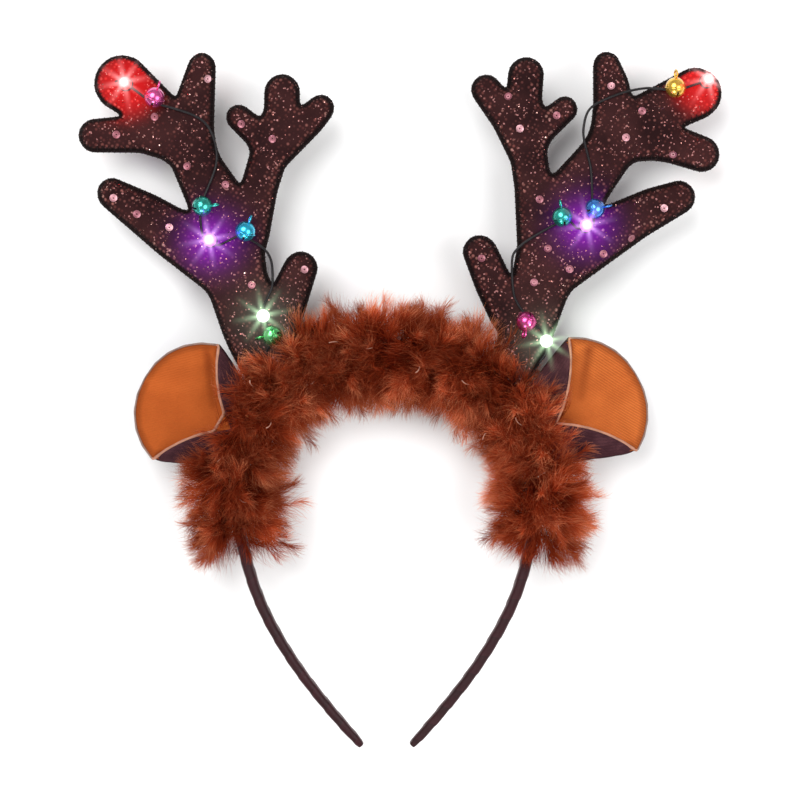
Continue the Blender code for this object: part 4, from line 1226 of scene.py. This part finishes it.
    # Each point's place on the painted depth shade: its distance out from the hoop, and a little for its
    # place along the barb
    for slotIndex, step in enumerate((0, 0, 1, 1, 2, 2, 3)):
        depthForShade = np.linalg.norm(points[:, step] - axis, axis=1)
        depthForShade = np.clip((depthForShade - fur["deepest"]) / (fur["radius"] - fur["deepest"]), 0.0, 1.0)
        tipAndDepthShade[:, slotIndex] = depthForShade * 0.72 + 0.28 * step / 3
    pattern = np.array([(0, 1, 3), (0, 3, 2), (2, 3, 5), (2, 5, 4), (4, 5, 6)])
    material = makeFurMaterial()
    pieces = []
    for index, part in enumerate(np.array_split(np.arange(count), fur["meshes"])):
        mesh = bpy.data.meshes.new("barbs")
        faces = (pattern[None] + (np.arange(len(part)) * 7)[:, None, None]).reshape(-1, 3)
        mesh.from_pydata(verts[part].reshape(-1, 3).tolist(), [], faces.tolist())
        setAttribute(mesh, "tone", np.repeat(tone[part], 7))
        setAttribute(mesh, "tip", tipAndDepthShade[part])
        pieces.append(newPiece(f"fur_barbs_{index + 1}", mesh, material))
    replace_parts(pieces[0], "fur_trim")
    makeFurCore(material)
    makeQuills()


def makeFurCore(material):
    line = onHoop(np.linspace(-fur["coreReach"], fur["coreReach"], 140))[0]
    mesh = tubes([line], fur["coreRadius"], roundness=5)
    points = pointsOf(mesh)
    lumps = fineNoise(points, 0.004, 6.0)
    setPoints(mesh, points + normalsOf(mesh) * (lumps * 0.0009)[:, None])
    # The core takes the dark end of the painted depth shade, and a share of the painted lit and shaded copies
    setAttribute(mesh, "tone", 0.3 + 0.3 * lumps)
    setAttribute(mesh, "tip", 0.12 + 0.12 * lumps)
    newPiece("fur_core", mesh, material)


def makeQuills():
    material, tree, shader = newMaterial("pale_quills", 0.4)
    setInputs(shader, {
        "Base Color": ramp(tree, noiseOf(tree, 700.0),
                           [(0.3, (0.30, 0.09, 0.05)), (0.7, (0.62, 0.36, 0.26))]),
        "Roughness": 0.35,
    })
    rng = random.Random(31)
    lines = []
    for across, down, turn, length, height in quillPlaces:
        start = inPhoto(across, down, height)
        way = Vector((math.cos(math.radians(turn)), math.sin(math.radians(turn)), 0.12))
        bow = Vector((-way.y, way.x, 0.0)) * rng.uniform(-0.25, 0.25)
        lines.append(np.array([start + way * (0.6 * length * share) + bow * (length * share * (1 - share) * 2)
                               for share in np.linspace(0.0, 1.0, 7)]))
    radii = np.array([1.0, 1.0, 0.95, 0.85, 0.7, 0.5, 0.25])
    newPiece("fur_quills", tubes(lines, 0.00022, roundness=1, radii=radii), material)


makeFur()
print("fur done")


# Floor, light and camera

studio = {"lampAim": (0.0, 0.0, 0.02), "skyStrength": 0.42, "bulbPower": 0.004, "bulbSize": 0.002,
          "bulbLift": 0.006, "cameraHeight": 0.90, "lens": 100.0}


def makeFloor():
    material, tree, shader = newMaterial("pale_floor")
    tone = ramp(tree, noiseOf(tree, 3.0), [(0.2, (0.90, 0.90, 0.90)), (0.8, (0.94, 0.94, 0.94))])
    setInputs(shader, {"Base Color": tone, "Roughness": 0.9})
    bm = bmesh.new()
    bmesh.ops.create_grid(bm, x_segments=2, y_segments=2, size=4.0)
    mesh = meshOf(bm)
    mesh.materials.append(material)
    floor = bpy.data.objects.new("floor", mesh)
    bpy.context.scene.collection.objects.link(floor)


def addArea(name, place, size, power):
    light = bpy.data.lights.new(name, "AREA")
    light.shape = "DISK"
    light.size = size
    light.energy = power
    lamp = bpy.data.objects.new(name, light)
    lamp.location = place
    lamp.rotation_mode = "QUATERNION"
    lamp.rotation_quaternion = (Vector(studio["lampAim"]) - Vector(place)).to_track_quat("-Z", "Y")
    bpy.context.scene.collection.objects.link(lamp)


makeFloor()
scene = bpy.context.scene
world = bpy.data.worlds.new("studio")
world.use_nodes = True
white = (1.0, 1.0, 1.0, 1.0)
setInputs(world.node_tree.nodes["Background"], {"Color": white, "Strength": studio["skyStrength"]})
scene.world = world
addArea("key", (-0.5, 0.5, 1.3), 1.1, 17.0)
addArea("fill", (0.8, -0.2, 1.1), 1.0, 10.0)
addArea("low", (-0.3, -1.1, 0.7), 0.5, 5.0)

for glow in glows:
    light = bpy.data.lights.new(glow["node"] + "_glow", "POINT")
    light.energy = studio["bulbPower"]
    light.color = glowColors[glow["color"]]
    light.shadow_soft_size = studio["bulbSize"]
    lamp = bpy.data.objects.new(glow["node"] + "_glow", light)
    lamp.location = (glow["middle"].x, glow["middle"].y, glow["high"].z + studio["bulbLift"])
    scene.collection.objects.link(lamp)

low, high = (Vector(corner) for corner in cadBox)
aim = (low + high) / 2
camera = bpy.data.objects.new("camera", bpy.data.cameras.new("camera"))
camera.data.lens = studio["lens"]
camera.data.sensor_width = 36.0
camera.location = (aim.x, aim.y, studio["cameraHeight"])
camera.data.clip_end = 20.0
scene.collection.objects.link(camera)
scene.camera = camera
scene.view_settings.view_transform = "Standard"

# Star flares round the bulbs, and a tinted halo that also colours the pale floor
scene.use_nodes = True
tree = scene.node_tree
tree.nodes.clear()
layers = addNode(tree, "CompositorNodeRLayers")
flare = {"Threshold": 4.0, "Strength": 1.0, "Saturation": 1.0}
halo = addNode(tree, "CompositorNodeGlare", {"Image": layers.outputs["Image"], **flare, "Size": 0.35},
               glare_type="BLOOM").outputs["Glare"]
# Times one, only to take the halo's grey
grey = addNode(tree, "CompositorNodeMath", {0: halo, 1: 1.0}, operation="MULTIPLY").outputs[0]
taken = addNode(tree, "CompositorNodeMixRGB", {"Fac": 1.0, 1: grey, 2: halo},
                blend_type="SUBTRACT", use_clamp=True)
taken = addNode(tree, "CompositorNodeMixRGB", {"Fac": 1.0, 1: taken.outputs[0], 2: (5.0, 5.0, 5.0, 1.0)},
                blend_type="MULTIPLY", use_clamp=True)
left = addNode(tree, "CompositorNodeMixRGB", {"Fac": 1.0, 1: white, 2: taken.outputs[0]},
               blend_type="SUBTRACT", use_clamp=True)
tinted = addNode(tree, "CompositorNodeMixRGB", {"Fac": 1.0, 1: layers.outputs["Image"], 2: left.outputs[0]},
                 blend_type="MULTIPLY")
stars = addNode(tree, "CompositorNodeGlare", {"Image": tinted.outputs[0], **flare, "Strength": 0.55,
                                              "Streaks": 8, "Fade": 0.72, "Iterations": 2,
                                              "Color Modulation": 0.0, "Saturation": 0.5,
                                              "Streaks Angle": math.radians(11)},
                glare_type="STREAKS")
addNode(tree, "CompositorNodeComposite", {"Image": stars.outputs["Image"]})

for name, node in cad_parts.items():
    if not node.hide_render:
        print("still shown", name)
